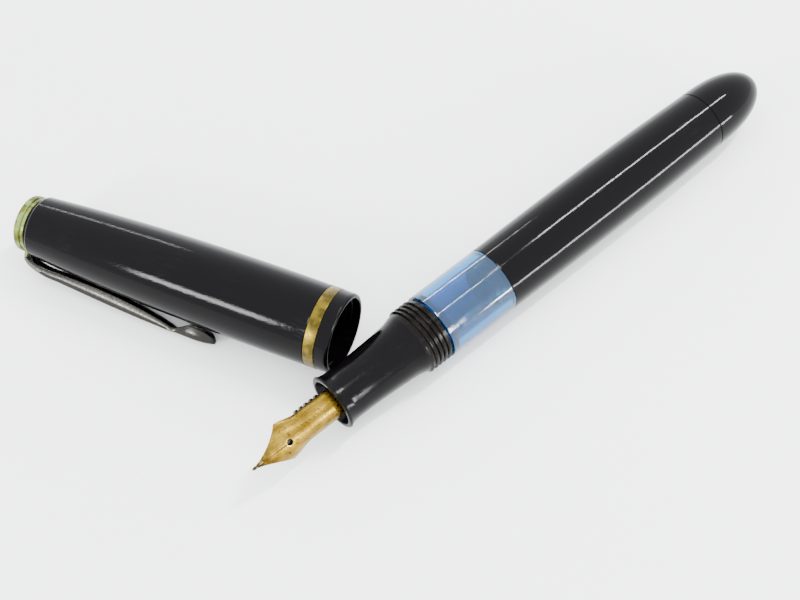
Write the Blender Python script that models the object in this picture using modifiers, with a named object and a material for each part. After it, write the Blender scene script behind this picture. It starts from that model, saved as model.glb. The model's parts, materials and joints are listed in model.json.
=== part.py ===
"""Fountain pen with a piston filler and a screw cap, lying with its cap off beside it.

Units are metres and +Z is up. Lengths along the pen are measured from the tip of the nib
towards the tail, and lengths along the cap from its mouth towards its top. The origin is
the centre of the bottom of the whole object's box.
"""
import math

import bmesh
import bpy
from mathutils import Matrix, Vector

mm = 0.001

# ---- clearances -------------------------------------------------------------------------
GLUE_GAP = 0.10 * mm        # between two pieces that are glued or screwed together
FACE_GAP = 0.10 * mm        # between two faces that meet end to end
SLIDE_GAP = 0.12 * mm       # between a sliding piece and its bore
TURN_GAP = 0.15 * mm        # between a turning piece and its bearing
THREAD_GAP = 0.18 * mm      # between matching threads, on the radius
TRAVEL_GAP = 0.30 * mm      # left between a moving piece and its stop
LAYOUT_GAP = 0.70 * mm      # between the cap's rim and the section, as they lie

# ---- small edges ------------------------------------------------------------------------
RIM_EDGE = 0.35 * mm        # taken off the section's lip and the cap's rim
SMALL_EDGE = 0.30 * mm      # off the spindle's tip, the piston's face and the disc
KNOB_EDGE = 0.20 * mm
BAND_EDGE = 0.12 * mm
BAND_PROUD = 0.04 * mm      # of the band above the shell

# ---- the pen along its axis -------------------------------------------------------------
NIB_LENGTH = 16.45 * mm      # of nib showing in front of the section
GRIP_LENGTH = 16.6 * mm
THREAD_LENGTH = 5.1 * mm
WINDOW_LENGTH = 13.9 * mm
BARREL_LENGTH = 51.2 * mm
KNOB_LENGTH = 14.0 * mm

# ---- the pen across ---------------------------------------------------------------------
BARREL_DIAMETER = 12.4 * mm
BARREL_FRONT_DIAMETER = 12.1 * mm
BARREL_REAR_DIAMETER = 11.4 * mm
BARREL_WIDEST_AT = 0.48     # of the barrel's length
BARREL_WALL = 0.75 * mm
RESERVOIR_WALL = 0.6 * mm
RESERVOIR_TAIL = 30.0 * mm  # of the ink tube that runs on inside the barrel
TENON_LENGTH = 4.5 * mm
TENON_WALL = 1.4 * mm
WINDOW_SHOULDER = 1.2 * mm  # wall that closes the front of the ink space
LIP_DIAMETER = 10.2 * mm
LIP_LENGTH = 2.4 * mm
LIP_RECESS = 1.5 * mm
LIP_WALL = 0.9 * mm
GRIP_DIAMETER = 9.2 * mm
GRIP_REAR_DIAMETER = 10.5 * mm
THREAD_DIAMETER = 12.0 * mm
THREAD_DEPTH = 0.42 * mm
THREAD_PITCH = 0.92 * mm

# ---- nib and feed -----------------------------------------------------------------------
NIB_RADIUS = 2.5 * mm      # of the rolled body, to the middle of the sheet
NIB_SHEET = 0.28 * mm
NIB_WRAP = math.radians(84)         # each side of the top
NIB_SHOULDER_AT = 6.2 * mm
NIB_SHOULDER_WIDTH = 6.6 * mm
NIB_HIDDEN = 9.0 * mm       # of nib inside the section
NIB_TIP_WIDTH = 0.55 * mm
NIB_TIP_HEIGHT = 2.3 * mm  # of the tip above the pen's axis
NIB_ROLL = math.radians(46)
BREATHER_DIAMETER = 1.1 * mm
BREATHER_AT = 6.5 * mm
SLIT_WIDTH = 0.12 * mm
TIPPING_LENGTH = 0.9 * mm
FEED_START = 3.6 * mm
FEED_RADIUS = 2.1 * mm
FIN_RADIUS = 2.75 * mm
FIN_PITCH = 1.03 * mm
FIN_COUNT = 5
COLLAR_WALL = 0.85 * mm
COLLAR_SETBACK = 1.1 * mm   # from the collar's rear end to the ink tube

# ---- piston and its drive ---------------------------------------------------------------
PISTON_SHOWS = 2.8 * mm     # of the piston in front of the barrel's edge at rest
PISTON_HEAD_LENGTH = 6.0 * mm
PISTON_FLANGE = 1.0 * mm
PISTON_PLUG = 1.5 * mm
SEAL_NECK_RADIUS = 2.6 * mm
SEAL_LIP = 1.0 * mm
SEAL_WAIST = 0.4 * mm       # depth of the hollow between the seal's two lips
ROD_RADIUS = 3.3 * mm
ROD_FLAT = 2.75 * mm        # from the axis to each flat
SPINDLE_RADIUS = 2.2 * mm   # over its thread
SPINDLE_THREAD_DEPTH = 0.42 * mm
SPINDLE_LEAD = 6.0 * mm     # travel of the piston for one turn of the knob
SPINDLE_STARTS = 2
SPINDLE_COLLAR_RADIUS = 3.75 * mm
SPINDLE_COLLAR_LENGTH = 1.2 * mm
SPINDLE_TAIL_RADIUS = 2.0 * mm
ROD_GRIP = 4.0 * mm         # of thread still engaged with the piston fully forward
GUIDE_LENGTH = 4.0 * mm
WASHER_THICKNESS = 0.5 * mm
RING_THICKNESS = 1.5 * mm
RING_SETBACK = 0.3 * mm     # inside the barrel's rear edge
KNOB_SOCKET = 7.5 * mm

# ---- the cap ----------------------------------------------------------------------------
CAP_LENGTH = 62.6 * mm      # from the mouth to the top of the disc
CAP_MOUTH_WALL = 0.87 * mm   # outside the root of the cap's thread
CAP_SWELL = 0.3 * mm         # of the widest diameter over the mouth's
CAP_TOP_DIAMETER = 11.0 * mm
CAP_WIDEST_AT = 14.0 * mm
CAP_SHOULDER = 0.9 * mm
CAP_TOP_WALL = 1.9 * mm
CAP_THREAD_START = 1.6 * mm
CAP_THREAD_LENGTH = 5.6 * mm
BAND_AT = 2.4 * mm
BAND_WIDTH = 2.0 * mm
BAND_DEPTH = 0.35 * mm
LIP_TO_LINER = 1.3 * mm      # from the section's lip to the liner with the cap on
LINER_STEP = 0.5 * mm        # length over which the bore steps in to the liner
LINER_WALL = 0.9 * mm
CAP_BORE_WALL = 0.8 * mm    # where the shell is thinnest, near its top
LINER_PLUG = 6.0 * mm
DISC_DIAMETER = 10.2 * mm
DISC_THICKNESS = 1.5 * mm
DISC_CROWN = 0.25 * mm
DISC_FLAT = 0.6             # of the disc's radius that is flat
STUD_RADIUS = 1.4 * mm
STUD_LENGTH = 8.0 * mm

# ---- the clip ---------------------------------------------------------------------------
CLIP_RING_THICKNESS = 0.6 * mm
CLIP_LENGTH = 39.0 * mm
CLIP_STANDOFF = 2.4 * mm    # of its outer edge above the shell, past the slope
CLIP_WIDTH = 3.6 * mm       # at its root
CLIP_END_WIDTH = 2.4 * mm
CLIP_SIDE = 2.3 * mm        # depth of its sides at mid length
CLIP_BALL_LENGTH = 8.0 * mm
CLIP_BALL_WIDTH = 3.2 * mm
CLIP_BALL_DEPTH = 2.4 * mm
CLIP_SHEET = 0.8 * mm       # of the strap at its root
CLIP_ROOT_RADIUS = 5.8 * mm
CLIP_BEND = 0.22            # of the clip's steps that go into the slope at its root
CLIP_SLOPE = 7.5 * mm       # length of that slope along the cap
CLIP_BOW = 0.45 * mm

# ---- how the two lie --------------------------------------------------------------------
CAP_TURN_FROM_PEN = math.radians(115.0)     # between the pen's and the cap's directions
MOUTH_ALONG_PEN = 26.2 * mm
SWING_CLEAR = 28.0 * mm     # from the nib's tip to the cap's mouth once they are in line

# ---- places worked out from the sizes above ---------------------------------------------
LIP_AT = NIB_LENGTH
THREAD_AT = LIP_AT + GRIP_LENGTH
WINDOW_AT = THREAD_AT + THREAD_LENGTH
BARREL_AT = WINDOW_AT + WINDOW_LENGTH
KNOB_AT = BARREL_AT + BARREL_LENGTH

BARREL_BORE = BARREL_FRONT_DIAMETER / 2 - BARREL_WALL
BARREL_REAR_BORE = BARREL_REAR_DIAMETER / 2 - BARREL_WALL
RESERVOIR_RADIUS = BARREL_BORE - GLUE_GAP
RESERVOIR_BORE = RESERVOIR_RADIUS - RESERVOIR_WALL
WINDOW_RADIUS = BARREL_FRONT_DIAMETER / 2
RESERVOIR_END = BARREL_AT + RESERVOIR_TAIL
THREAD_ROOT = THREAD_DIAMETER / 2 - THREAD_DEPTH
TENON_RADIUS = THREAD_ROOT - LIP_WALL - GLUE_GAP

NIB_OUTSIDE = NIB_RADIUS + NIB_SHEET / 2
COLLAR_BORE = NIB_OUTSIDE + GLUE_GAP
COLLAR_RADIUS = COLLAR_BORE + COLLAR_WALL
SECTION_BORE = COLLAR_RADIUS + GLUE_GAP
COLLAR_AT = LIP_AT + LIP_RECESS
TENON_AT = WINDOW_AT - TENON_LENGTH
COLLAR_END = TENON_AT - COLLAR_SETBACK
FEED_END = COLLAR_END

PISTON_AT = BARREL_AT - PISTON_SHOWS
PISTON_FORWARD = PISTON_AT - WINDOW_AT - WINDOW_SHOULDER - TRAVEL_GAP   # travel to the nib
SEAL_RADIUS = RESERVOIR_BORE - SLIDE_GAP
ROD_AT = PISTON_AT + PISTON_HEAD_LENGTH + FACE_GAP
ROD_BORE = SPINDLE_RADIUS + THREAD_GAP
RING_AT = KNOB_AT - RING_SETBACK - RING_THICKNESS
WASHER_AT = RING_AT - FACE_GAP - WASHER_THICKNESS
SPINDLE_COLLAR_AT = WASHER_AT - FACE_GAP - SPINDLE_COLLAR_LENGTH
ROD_ROOM = SPINDLE_COLLAR_AT - TRAVEL_GAP - ROD_AT      # for the rod and its travel
PISTON_BACK = (ROD_ROOM - PISTON_PLUG - TRAVEL_GAP - ROD_GRIP - PISTON_FORWARD) / 2
SPINDLE_TIP = ROD_AT + PISTON_PLUG + PISTON_BACK + TRAVEL_GAP
ROD_END = SPINDLE_TIP + ROD_GRIP + PISTON_FORWARD
GUIDE_AT = ROD_AT + PISTON_BACK + TRAVEL_GAP
HOUSING_RADIUS = BARREL_REAR_BORE - GLUE_GAP
HOUSING_NECK = RESERVOIR_BORE - GLUE_GAP
HOUSING_BORE = ROD_RADIUS + TURN_GAP
TAIL_SOCKET_END = KNOB_AT + KNOB_SOCKET

CAP_THREAD_MAJOR = THREAD_DIAMETER / 2 + THREAD_GAP
CAP_MOUTH_DIAMETER = 2 * (CAP_THREAD_MAJOR + CAP_MOUTH_WALL)
CAP_DIAMETER = CAP_MOUTH_DIAMETER + CAP_SWELL
CAP_AXIS_HEIGHT = CAP_DIAMETER / 2
PEN_AXIS_HEIGHT = BARREL_DIAMETER / 2
LIP_ROOM = LIP_DIAMETER / 2 + TURN_GAP      # bore round the section's lip
SHELL_LENGTH = CAP_LENGTH - DISC_THICKNESS - CLIP_RING_THICKNESS - 2 * FACE_GAP
CLIP_RING_AT = SHELL_LENGTH + FACE_GAP
DISC_AT = CLIP_RING_AT + CLIP_RING_THICKNESS + FACE_GAP
CAP_BORE = CAP_TOP_DIAMETER / 2 - CAP_BORE_WALL
LINER_START = GRIP_LENGTH + THREAD_LENGTH + LIP_TO_LINER
LINER_RADIUS = CAP_BORE - GLUE_GAP
LINER_END = SHELL_LENGTH - CAP_TOP_WALL - FACE_GAP
STUD_END = DISC_AT + DISC_THICKNESS * 0.55

ROUND = 28                  # facets around a turned piece
SLIM = 20                   # facets around a slim one
CLIP_STATIONS = 34          # steps along the clip


# ---- helpers ----------------------------------------------------------------------------
def clear_scene():
    """Removes every object, so that the model starts from nothing."""
    for thing in list(bpy.data.objects):
        bpy.data.objects.remove(thing, do_unlink=True)


def collection(name):
    """Makes a collection in the scene."""
    made = bpy.data.collections.new(name)
    bpy.context.scene.collection.children.link(made)
    return made


def finish(name, colour, roughness, metallic=0.0, transmission=0.0):
    """Makes a Principled material."""
    made = bpy.data.materials.new(name)
    made.use_nodes = True
    shader = made.node_tree.nodes["Principled BSDF"]
    shader.inputs["Base Color"].default_value = (*colour, 1.0)
    shader.inputs["Roughness"].default_value = roughness
    shader.inputs["Metallic"].default_value = metallic
    shader.inputs["Transmission Weight"].default_value = transmission
    return made


def empty(name, parent, matrix):
    """Makes an empty that carries a group of pieces."""
    made = bpy.data.objects.new(name, None)
    PEN.objects.link(made)
    made.parent = parent
    made.matrix_local = matrix
    return made


def new_object(name, mesh, parent, material=None):
    """Puts a mesh in the scene under its carrier."""
    made = bpy.data.objects.new(name, mesh)
    PEN.objects.link(made)
    made.parent = parent
    if material:
        mesh.materials.append(material)
    return made


def take_added(name, parent, owner):
    """Names the shape that an operator just added and moves it to a carrier and a collection."""
    made = bpy.context.object
    made.name = name
    made.parent = parent
    for old in list(made.users_collection):
        old.objects.unlink(made)
    owner.objects.link(made)
    return made


def cutting_box(name, parent, size, location):
    """Adds a box that cuts, under a carrier."""
    bpy.ops.mesh.primitive_cube_add(size=1)
    box = take_added(name, parent, CUTTERS)
    box.scale = size
    box.location = location
    hide(box)
    return box


def hide(cutter):
    """Keeps a cutting shape out of the model."""
    if cutter.name in PEN.objects:
        PEN.objects.unlink(cutter)
        CUTTERS.objects.link(cutter)
    cutter.hide_render = True
    cutter.display_type = "WIRE"


def freeze(piece):
    """Replaces a piece's mesh and modifiers with the mesh that they make."""
    bpy.context.view_layer.update()
    seen = piece.evaluated_get(bpy.context.evaluated_depsgraph_get())
    mesh = bpy.data.meshes.new_from_object(seen)
    mesh.name = piece.name
    piece.modifiers.clear()
    piece.data = mesh


def boolean(piece, other, operation):
    """Cuts a piece with another shape, or joins the two."""
    step = piece.modifiers.new(other.name, "BOOLEAN")
    step.object = other
    step.operation = operation
    step.solver = "EXACT"


def turned(name, outline, parent, material, closed=True, facets=ROUND):
    """Turns an outline of (radius, height) points about the carrier's Z axis.

    The outline runs down the outer side from the top. A closed one comes back up the
    bore; an open one starts and ends on the axis.
    """
    mesh = bpy.data.meshes.new(name)
    count = len(outline)
    edges = [(i, i + 1) for i in range(count - 1)]
    if closed:
        edges.append((count - 1, 0))
    mesh.from_pydata([(r, 0.0, z) for r, z in outline], edges, [])
    made = new_object(name, mesh, parent, material)
    screw = made.modifiers.new("turn", "SCREW")
    screw.axis = "Z"
    screw.steps = facets
    screw.render_steps = facets
    screw.use_merge_vertices = True
    screw.merge_threshold = 0.000001
    screw.use_smooth_shade = True
    return made


def tube(name, outside, bore, start, end, parent, material, edge=0.0, facets=ROUND):
    """Makes a tube between two places on the axis, with its outer edges chamfered."""
    outline = [(outside - edge, end), (outside, end - edge), (outside, start + edge),
               (outside - edge, start), (bore, start), (bore, end)]
    if not edge:
        outline = [(outside, end), (outside, start), (bore, start), (bore, end)]
    return turned(name, outline, parent, material, facets=facets)


def cut_thread(piece, start, end, pitch, depth, starts, radius, inward=False):
    """Raises a right-hand helical ridge on the vertices of one turned surface.

    The vertices between start and end that lie at the given radius move outwards, or
    inwards in a bore, by up to depth, and the ridge fades out at both ends. A ridge in a
    bore lies in the groove of the same ridge on a shaft.
    """
    freeze(piece)
    sign = -1 if inward else 1
    for v in piece.data.vertices:
        on_surface = abs(math.hypot(v.co.x, v.co.y) - radius) < 0.02 * mm
        if not (start <= v.co.z <= end and on_surface):
            continue
        phase = v.co.z / pitch * 2 * math.pi - math.atan2(v.co.y, v.co.x) * starts
        fade = min(1.0, (v.co.z - start) / pitch * 2, (end - v.co.z) / pitch * 2)
        height = depth * max(fade, 0.0) * (0.5 + 0.5 * sign * math.cos(phase))
        grown = 1 + sign * height / radius
        v.co.x *= grown
        v.co.y *= grown


def stations(start, end, step):
    """Places at an even spacing of at most step, both ends included."""
    count = max(1, math.ceil((end - start) / step - 1e-6))
    return [start + (end - start) * i / count for i in range(count + 1)]


def loft(name, sections, parent, material):
    """Joins closed sections, each a list of as many points, and caps both ends."""
    shape = bmesh.new()
    rings = [[shape.verts.new(p) for p in section] for section in sections]
    count = len(rings[0])
    for a, b in zip(rings, rings[1:]):
        for i in range(count):
            j = (i + 1) % count
            shape.faces.new((a[i], a[j], b[j], b[i]))
    shape.faces.new(list(reversed(rings[0])))
    shape.faces.new(rings[-1])
    bmesh.ops.recalc_face_normals(shape, faces=shape.faces)
    mesh = bpy.data.meshes.new(name)
    shape.to_mesh(mesh)
    shape.free()
    return new_object(name, mesh, parent, material)


# ---- outer shapes of the pen and the cap --------------------------------------------------
def barrel_radius(z):
    """Outer radius of the barrel, widest near its middle."""
    widest = BARREL_AT + BARREL_LENGTH * BARREL_WIDEST_AT
    if z < widest:
        t = (widest - z) / (widest - BARREL_AT)
        return BARREL_DIAMETER / 2 - (BARREL_DIAMETER - BARREL_FRONT_DIAMETER) / 2 * t ** 2
    t = (z - widest) / (KNOB_AT - widest)
    return BARREL_DIAMETER / 2 - (BARREL_DIAMETER - BARREL_REAR_DIAMETER) / 2 * t ** 2


def knob_radius(z):
    """Outer radius of the knob, which closes the tail as a blunt bullet."""
    t = (z - KNOB_AT) / KNOB_LENGTH
    return BARREL_REAR_DIAMETER / 2 * (1 - t ** 2.6) ** 0.5 if t < 1 else 0.0


def cap_radius(z):
    """Outer radius of the cap's shell."""
    if z < CAP_WIDEST_AT:
        t = (CAP_WIDEST_AT - z) / CAP_WIDEST_AT
        return CAP_DIAMETER / 2 - (CAP_DIAMETER - CAP_MOUTH_DIAMETER) / 2 * t ** 2
    t = (z - CAP_WIDEST_AT) / (SHELL_LENGTH - CAP_WIDEST_AT)
    return CAP_DIAMETER / 2 - (CAP_DIAMETER - CAP_TOP_DIAMETER) / 2 * t ** 2.2


# ---- the writing end ----------------------------------------------------------------------
def nib_surface(z, across, lift=0.0):
    """A point on the middle of the nib's sheet; across runs from -1 to 1."""
    place = z
    z = max(z, 0.0)
    slope = 1 - min(z / NIB_SHOULDER_AT, 1.0)
    rolled = min(max((z - NIB_SHOULDER_AT) / (NIB_LENGTH * 0.25), 0.0), 1.0)
    rolled = rolled * rolled * (3 - 2 * rolled)
    if z < NIB_SHOULDER_AT:
        swell = (z / NIB_SHOULDER_AT) ** 1.25
        half_width = NIB_TIP_WIDTH / 2 + (NIB_SHOULDER_WIDTH - NIB_TIP_WIDTH) / 2 * swell
    else:
        body = NIB_RADIUS * math.sin(NIB_WRAP)
        half_width = NIB_SHOULDER_WIDTH / 2 + (body - NIB_SHOULDER_WIDTH / 2) * rolled
    crown = NIB_RADIUS - (NIB_RADIUS - NIB_TIP_HEIGHT) * slope ** 1.35
    flat_radius = NIB_SHOULDER_WIDTH * 0.56
    radius = flat_radius + (NIB_RADIUS - flat_radius) * rolled
    angle = across * min(math.asin(min(half_width / radius, 1.0)), NIB_WRAP)
    reach = radius + lift
    return Vector((crown - radius + reach * math.cos(angle), reach * math.sin(angle), place))


def nib_sheet(name, start, end, wrap_scale, inside, outside, parent, material):
    """The nib's curved sheet as a solid between two offsets from its middle."""
    along = stations(start, end, 1.3 * mm)
    steps = 10
    sections = []
    for z in along:
        across = [wrap_scale * (2 * i / steps - 1) for i in range(steps + 1)]
        section = [nib_surface(z, a, outside) for a in across]
        section += [nib_surface(z, a, -inside) for a in reversed(across)]
        sections.append(section)
    return loft(name, sections, parent, material)


def build_nib(carrier):
    """The nib, its tipping, the feed under it and the collar that holds them."""
    half = NIB_SHEET / 2
    nib = nib_sheet("nib", 0.0, LIP_AT + NIB_HIDDEN, 1.0, half, half, carrier, GOLD_PLATE)

    slit = cutting_box("slit_cutter", carrier,
                       (2 * NIB_RADIUS, SLIT_WIDTH, BREATHER_AT + NIB_LENGTH),
                       (NIB_RADIUS, 0, (BREATHER_AT - NIB_LENGTH) / 2))
    bpy.ops.mesh.primitive_cylinder_add(vertices=24, radius=BREATHER_DIAMETER / 2,
                                        depth=2 * NIB_RADIUS)
    hole = take_added("breather_cutter", carrier, CUTTERS)
    hole.rotation_euler.y = math.radians(90)
    hole.location = (NIB_RADIUS, 0, BREATHER_AT)
    hide(hole)
    boolean(nib, hole, "DIFFERENCE")
    boolean(nib, slit, "DIFFERENCE")

    bpy.ops.mesh.primitive_uv_sphere_add(segments=12, ring_count=8, radius=0.5)
    tipping = take_added("nib_tipping", carrier, PEN)
    tipping.data.transform(Matrix.Diagonal((NIB_TIP_WIDTH, NIB_TIP_WIDTH, TIPPING_LENGTH, 1)))
    tipping.location = (NIB_TIP_HEIGHT, 0, -TIPPING_LENGTH / 2 - FACE_GAP / 2)
    tipping.data.shade_smooth()
    tipping.data.materials.append(TIPPING_METAL)
    build_feed(carrier)
    tube("nib_collar", COLLAR_RADIUS, COLLAR_BORE, COLLAR_AT, COLLAR_END,
         carrier, EBONITE)


def build_feed(carrier):
    """The feed: a round bar under the nib with a comb of fins in front of the section."""
    comb_start = LIP_AT - LIP_RECESS / 2 - FIN_COUNT * FIN_PITCH

    def tapered(z):
        """Radius of the feed's front end, which thins towards the nib's tip."""
        t = (z - FEED_START) / (comb_start - FEED_START)
        return FEED_RADIUS * (0.35 + 0.65 * max(t, 0.0) ** 0.6) if t < 1 else FEED_RADIUS

    outline = [(0, FEED_END - FACE_GAP), (FEED_RADIUS, FEED_END - FACE_GAP)]
    for i in reversed(range(FIN_COUNT)):
        z = comb_start + i * FIN_PITCH
        outline += [(FEED_RADIUS, z + FIN_PITCH * 0.5), (FIN_RADIUS, z + FIN_PITCH * 0.5),
                    (FIN_RADIUS, z), (FEED_RADIUS, z)]
    for z in reversed(stations(FEED_START, comb_start, 1.8 * mm)[1:-1]):
        outline.append((tapered(z), z))
    outline += [(tapered(FEED_START), FEED_START), (0, FEED_START)]
    feed = turned("feed", outline, carrier, EBONITE, closed=False, facets=SLIM)
    freeze(feed)
    for vertex in feed.data.vertices:       # the thin end lies against the nib
        vertex.co.x += FEED_RADIUS - tapered(vertex.co.z)
    room = nib_sheet("nib_room", -NIB_LENGTH * 0.1, FEED_END + NIB_LENGTH * 0.1, 1.08,
                     NIB_SHEET / 2 + GLUE_GAP, NIB_RADIUS * 1.5, carrier, None)
    boolean(feed, room, "DIFFERENCE")
    hide(room)


# ---- section, ink tube and barrel -----------------------------------------------------------
def grip_radius(z):
    """Outer radius of the section between its lip and its thread."""
    along = max(0.0, ((z - LIP_AT) / GRIP_LENGTH - 0.3) / 0.7)
    lip = max(0.0, 1 - (z - LIP_AT) / LIP_LENGTH) ** 2
    flare = max(0.0, 1 - (THREAD_AT - z) / LIP_LENGTH) ** 2
    radius = GRIP_DIAMETER / 2 + (GRIP_REAR_DIAMETER - GRIP_DIAMETER) / 2 * along ** 1.5
    radius += (LIP_DIAMETER - GRIP_DIAMETER) / 2 * lip
    return radius + (THREAD_ROOT - GRIP_REAR_DIAMETER / 2) * flare


def build_section(carrier):
    """The section: grip, flared lip and the outer thread that takes the cap."""
    ring = THREAD_PITCH / 4
    socket = TENON_RADIUS + GLUE_GAP
    edge = RIM_EDGE
    outer = [(THREAD_ROOT, z) for z in stations(THREAD_AT, WINDOW_AT - FACE_GAP, ring)]
    grip = [(grip_radius(z), z) for z in stations(LIP_AT + edge, THREAD_AT, 1.2 * mm)[:-1]]
    outline = list(reversed(outer)) + list(reversed(grip))
    outline += [(LIP_DIAMETER / 2 - edge, LIP_AT), (LIP_DIAMETER / 2 - LIP_WALL, LIP_AT)]
    outline += [(SECTION_BORE, COLLAR_AT - FACE_GAP), (SECTION_BORE, TENON_AT - FACE_GAP),
                (socket, TENON_AT - FACE_GAP), (socket, WINDOW_AT - FACE_GAP)]
    section = turned("section", outline, carrier, BLACK_PLASTIC)
    cut_thread(section, THREAD_AT, WINDOW_AT - FACE_GAP, THREAD_PITCH, THREAD_DEPTH, 1,
               THREAD_ROOT)


def build_ink_window(carrier):
    """The clear tube: a tenon in the section, the window, and the ink space behind it."""
    tenon_bore = TENON_RADIUS - TENON_WALL
    outline = [(RESERVOIR_RADIUS, RESERVOIR_END), (RESERVOIR_RADIUS, BARREL_AT),
               (WINDOW_RADIUS, BARREL_AT), (WINDOW_RADIUS, WINDOW_AT),
               (TENON_RADIUS, WINDOW_AT), (TENON_RADIUS, TENON_AT), (tenon_bore, TENON_AT),
               (tenon_bore, WINDOW_AT + WINDOW_SHOULDER),
               (RESERVOIR_BORE, WINDOW_AT + WINDOW_SHOULDER), (RESERVOIR_BORE, RESERVOIR_END)]
    turned("ink_window", outline, carrier, BLUE_PLASTIC)


def build_barrel(carrier):
    """The black barrel over the ink tube and the piston's drive."""
    outer = [(barrel_radius(z), z) for z in stations(BARREL_AT + FACE_GAP, KNOB_AT, 5.0 * mm)]
    step = RESERVOIR_END + TRAVEL_GAP
    outline = list(reversed(outer))
    outline += [(BARREL_BORE, BARREL_AT + FACE_GAP), (BARREL_BORE, step),
                (BARREL_REAR_BORE, step), (BARREL_REAR_BORE, KNOB_AT)]
    turned("barrel", outline, carrier, BLACK_PLASTIC)


# ---- the piston filler ------------------------------------------------------------------------
def keyed_cutter(name, radius, flat, start, end, carrier):
    """A round bar with two flats, which cuts a keyed hole."""
    bpy.ops.mesh.primitive_cylinder_add(vertices=ROUND, radius=radius, depth=end - start)
    bar = take_added(name, carrier, CUTTERS)
    bar.location.z = (start + end) / 2
    for v in bar.data.vertices:
        v.co.y = max(-flat, min(flat, v.co.y))
    hide(bar)
    return bar


def build_piston(carrier):
    """Piston head, its seal and the keyed rod with the inner thread."""
    head_end = PISTON_AT + PISTON_HEAD_LENGTH
    front = PISTON_AT + PISTON_FLANGE
    rear = head_end - PISTON_FLANGE
    plug = ROD_BORE - GLUE_GAP
    flange = SEAL_RADIUS - SLIDE_GAP * 2
    outline = [(0, head_end + PISTON_PLUG), (plug, head_end + PISTON_PLUG), (plug, head_end),
               (ROD_RADIUS + 0.5 * mm, head_end), (ROD_RADIUS + 0.5 * mm, rear),
               (SEAL_NECK_RADIUS, rear), (SEAL_NECK_RADIUS, front),
               (flange, front), (flange, PISTON_AT + SMALL_EDGE),
               (flange - SMALL_EDGE, PISTON_AT), (0, PISTON_AT)]
    turned("piston_head", outline, carrier, DARK_PLASTIC, closed=False)

    middle = (front + rear) / 2
    waist = SEAL_RADIUS - SEAL_WAIST
    seal = [(SEAL_RADIUS, rear - FACE_GAP), (SEAL_RADIUS, rear - SEAL_LIP), (waist, middle),
            (SEAL_RADIUS, front + SEAL_LIP), (SEAL_RADIUS, front + FACE_GAP),
            (SEAL_NECK_RADIUS + GLUE_GAP, front + FACE_GAP),
            (SEAL_NECK_RADIUS + GLUE_GAP, rear - FACE_GAP)]
    turned("piston_seal", seal, carrier, SEAL_RUBBER)

    pitch = SPINDLE_LEAD / SPINDLE_STARTS
    thread_from = ROD_END - 2 * ROD_GRIP
    bore = [(ROD_BORE, z) for z in stations(thread_from, ROD_END, pitch / 5)]
    outline = [(ROD_RADIUS, ROD_END), (ROD_RADIUS, ROD_AT), (ROD_BORE, ROD_AT)] + bore
    rod = turned("piston_rod", outline, carrier, DARK_PLASTIC, facets=SLIM)
    cut_thread(rod, thread_from, ROD_END, pitch, SPINDLE_THREAD_DEPTH, SPINDLE_STARTS,
               ROD_BORE, inward=True)
    for side in (1, -1):
        flat = cutting_box("rod_flat_cutter", carrier,
                           (4 * ROD_RADIUS, ROD_RADIUS, 2 * (ROD_END - ROD_AT)),
                           (0, side * (ROD_FLAT + ROD_RADIUS / 2), (ROD_AT + ROD_END) / 2))
        boolean(rod, flat, "DIFFERENCE")


def build_housing(carrier):
    """The sleeve in the barrel's tail that guides the rod and holds the spindle."""
    collar_bore = SPINDLE_COLLAR_RADIUS + TURN_GAP
    guide_end = GUIDE_AT + GUIDE_LENGTH
    step = RESERVOIR_END + 2 * TRAVEL_GAP
    end = RING_AT - FACE_GAP
    outline = [(HOUSING_RADIUS, end), (HOUSING_RADIUS, step), (HOUSING_NECK, step),
               (HOUSING_NECK, GUIDE_AT), (SPINDLE_RADIUS, GUIDE_AT), (SPINDLE_RADIUS, guide_end),
               (HOUSING_BORE, guide_end), (HOUSING_BORE, SPINDLE_COLLAR_AT - FACE_GAP),
               (collar_bore, SPINDLE_COLLAR_AT - FACE_GAP), (collar_bore, end)]
    housing = turned("piston_housing", outline, carrier, DARK_PLASTIC)
    key = keyed_cutter("guide_cutter", ROD_RADIUS + SLIDE_GAP, ROD_FLAT + SLIDE_GAP,
                       GUIDE_AT - GUIDE_LENGTH, guide_end + 0.5 * mm, carrier)
    boolean(housing, key, "DIFFERENCE")
    tube("retaining_ring", HOUSING_RADIUS, SPINDLE_TAIL_RADIUS + TURN_GAP, RING_AT,
         RING_AT + RING_THICKNESS, carrier, BRASS)


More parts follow.
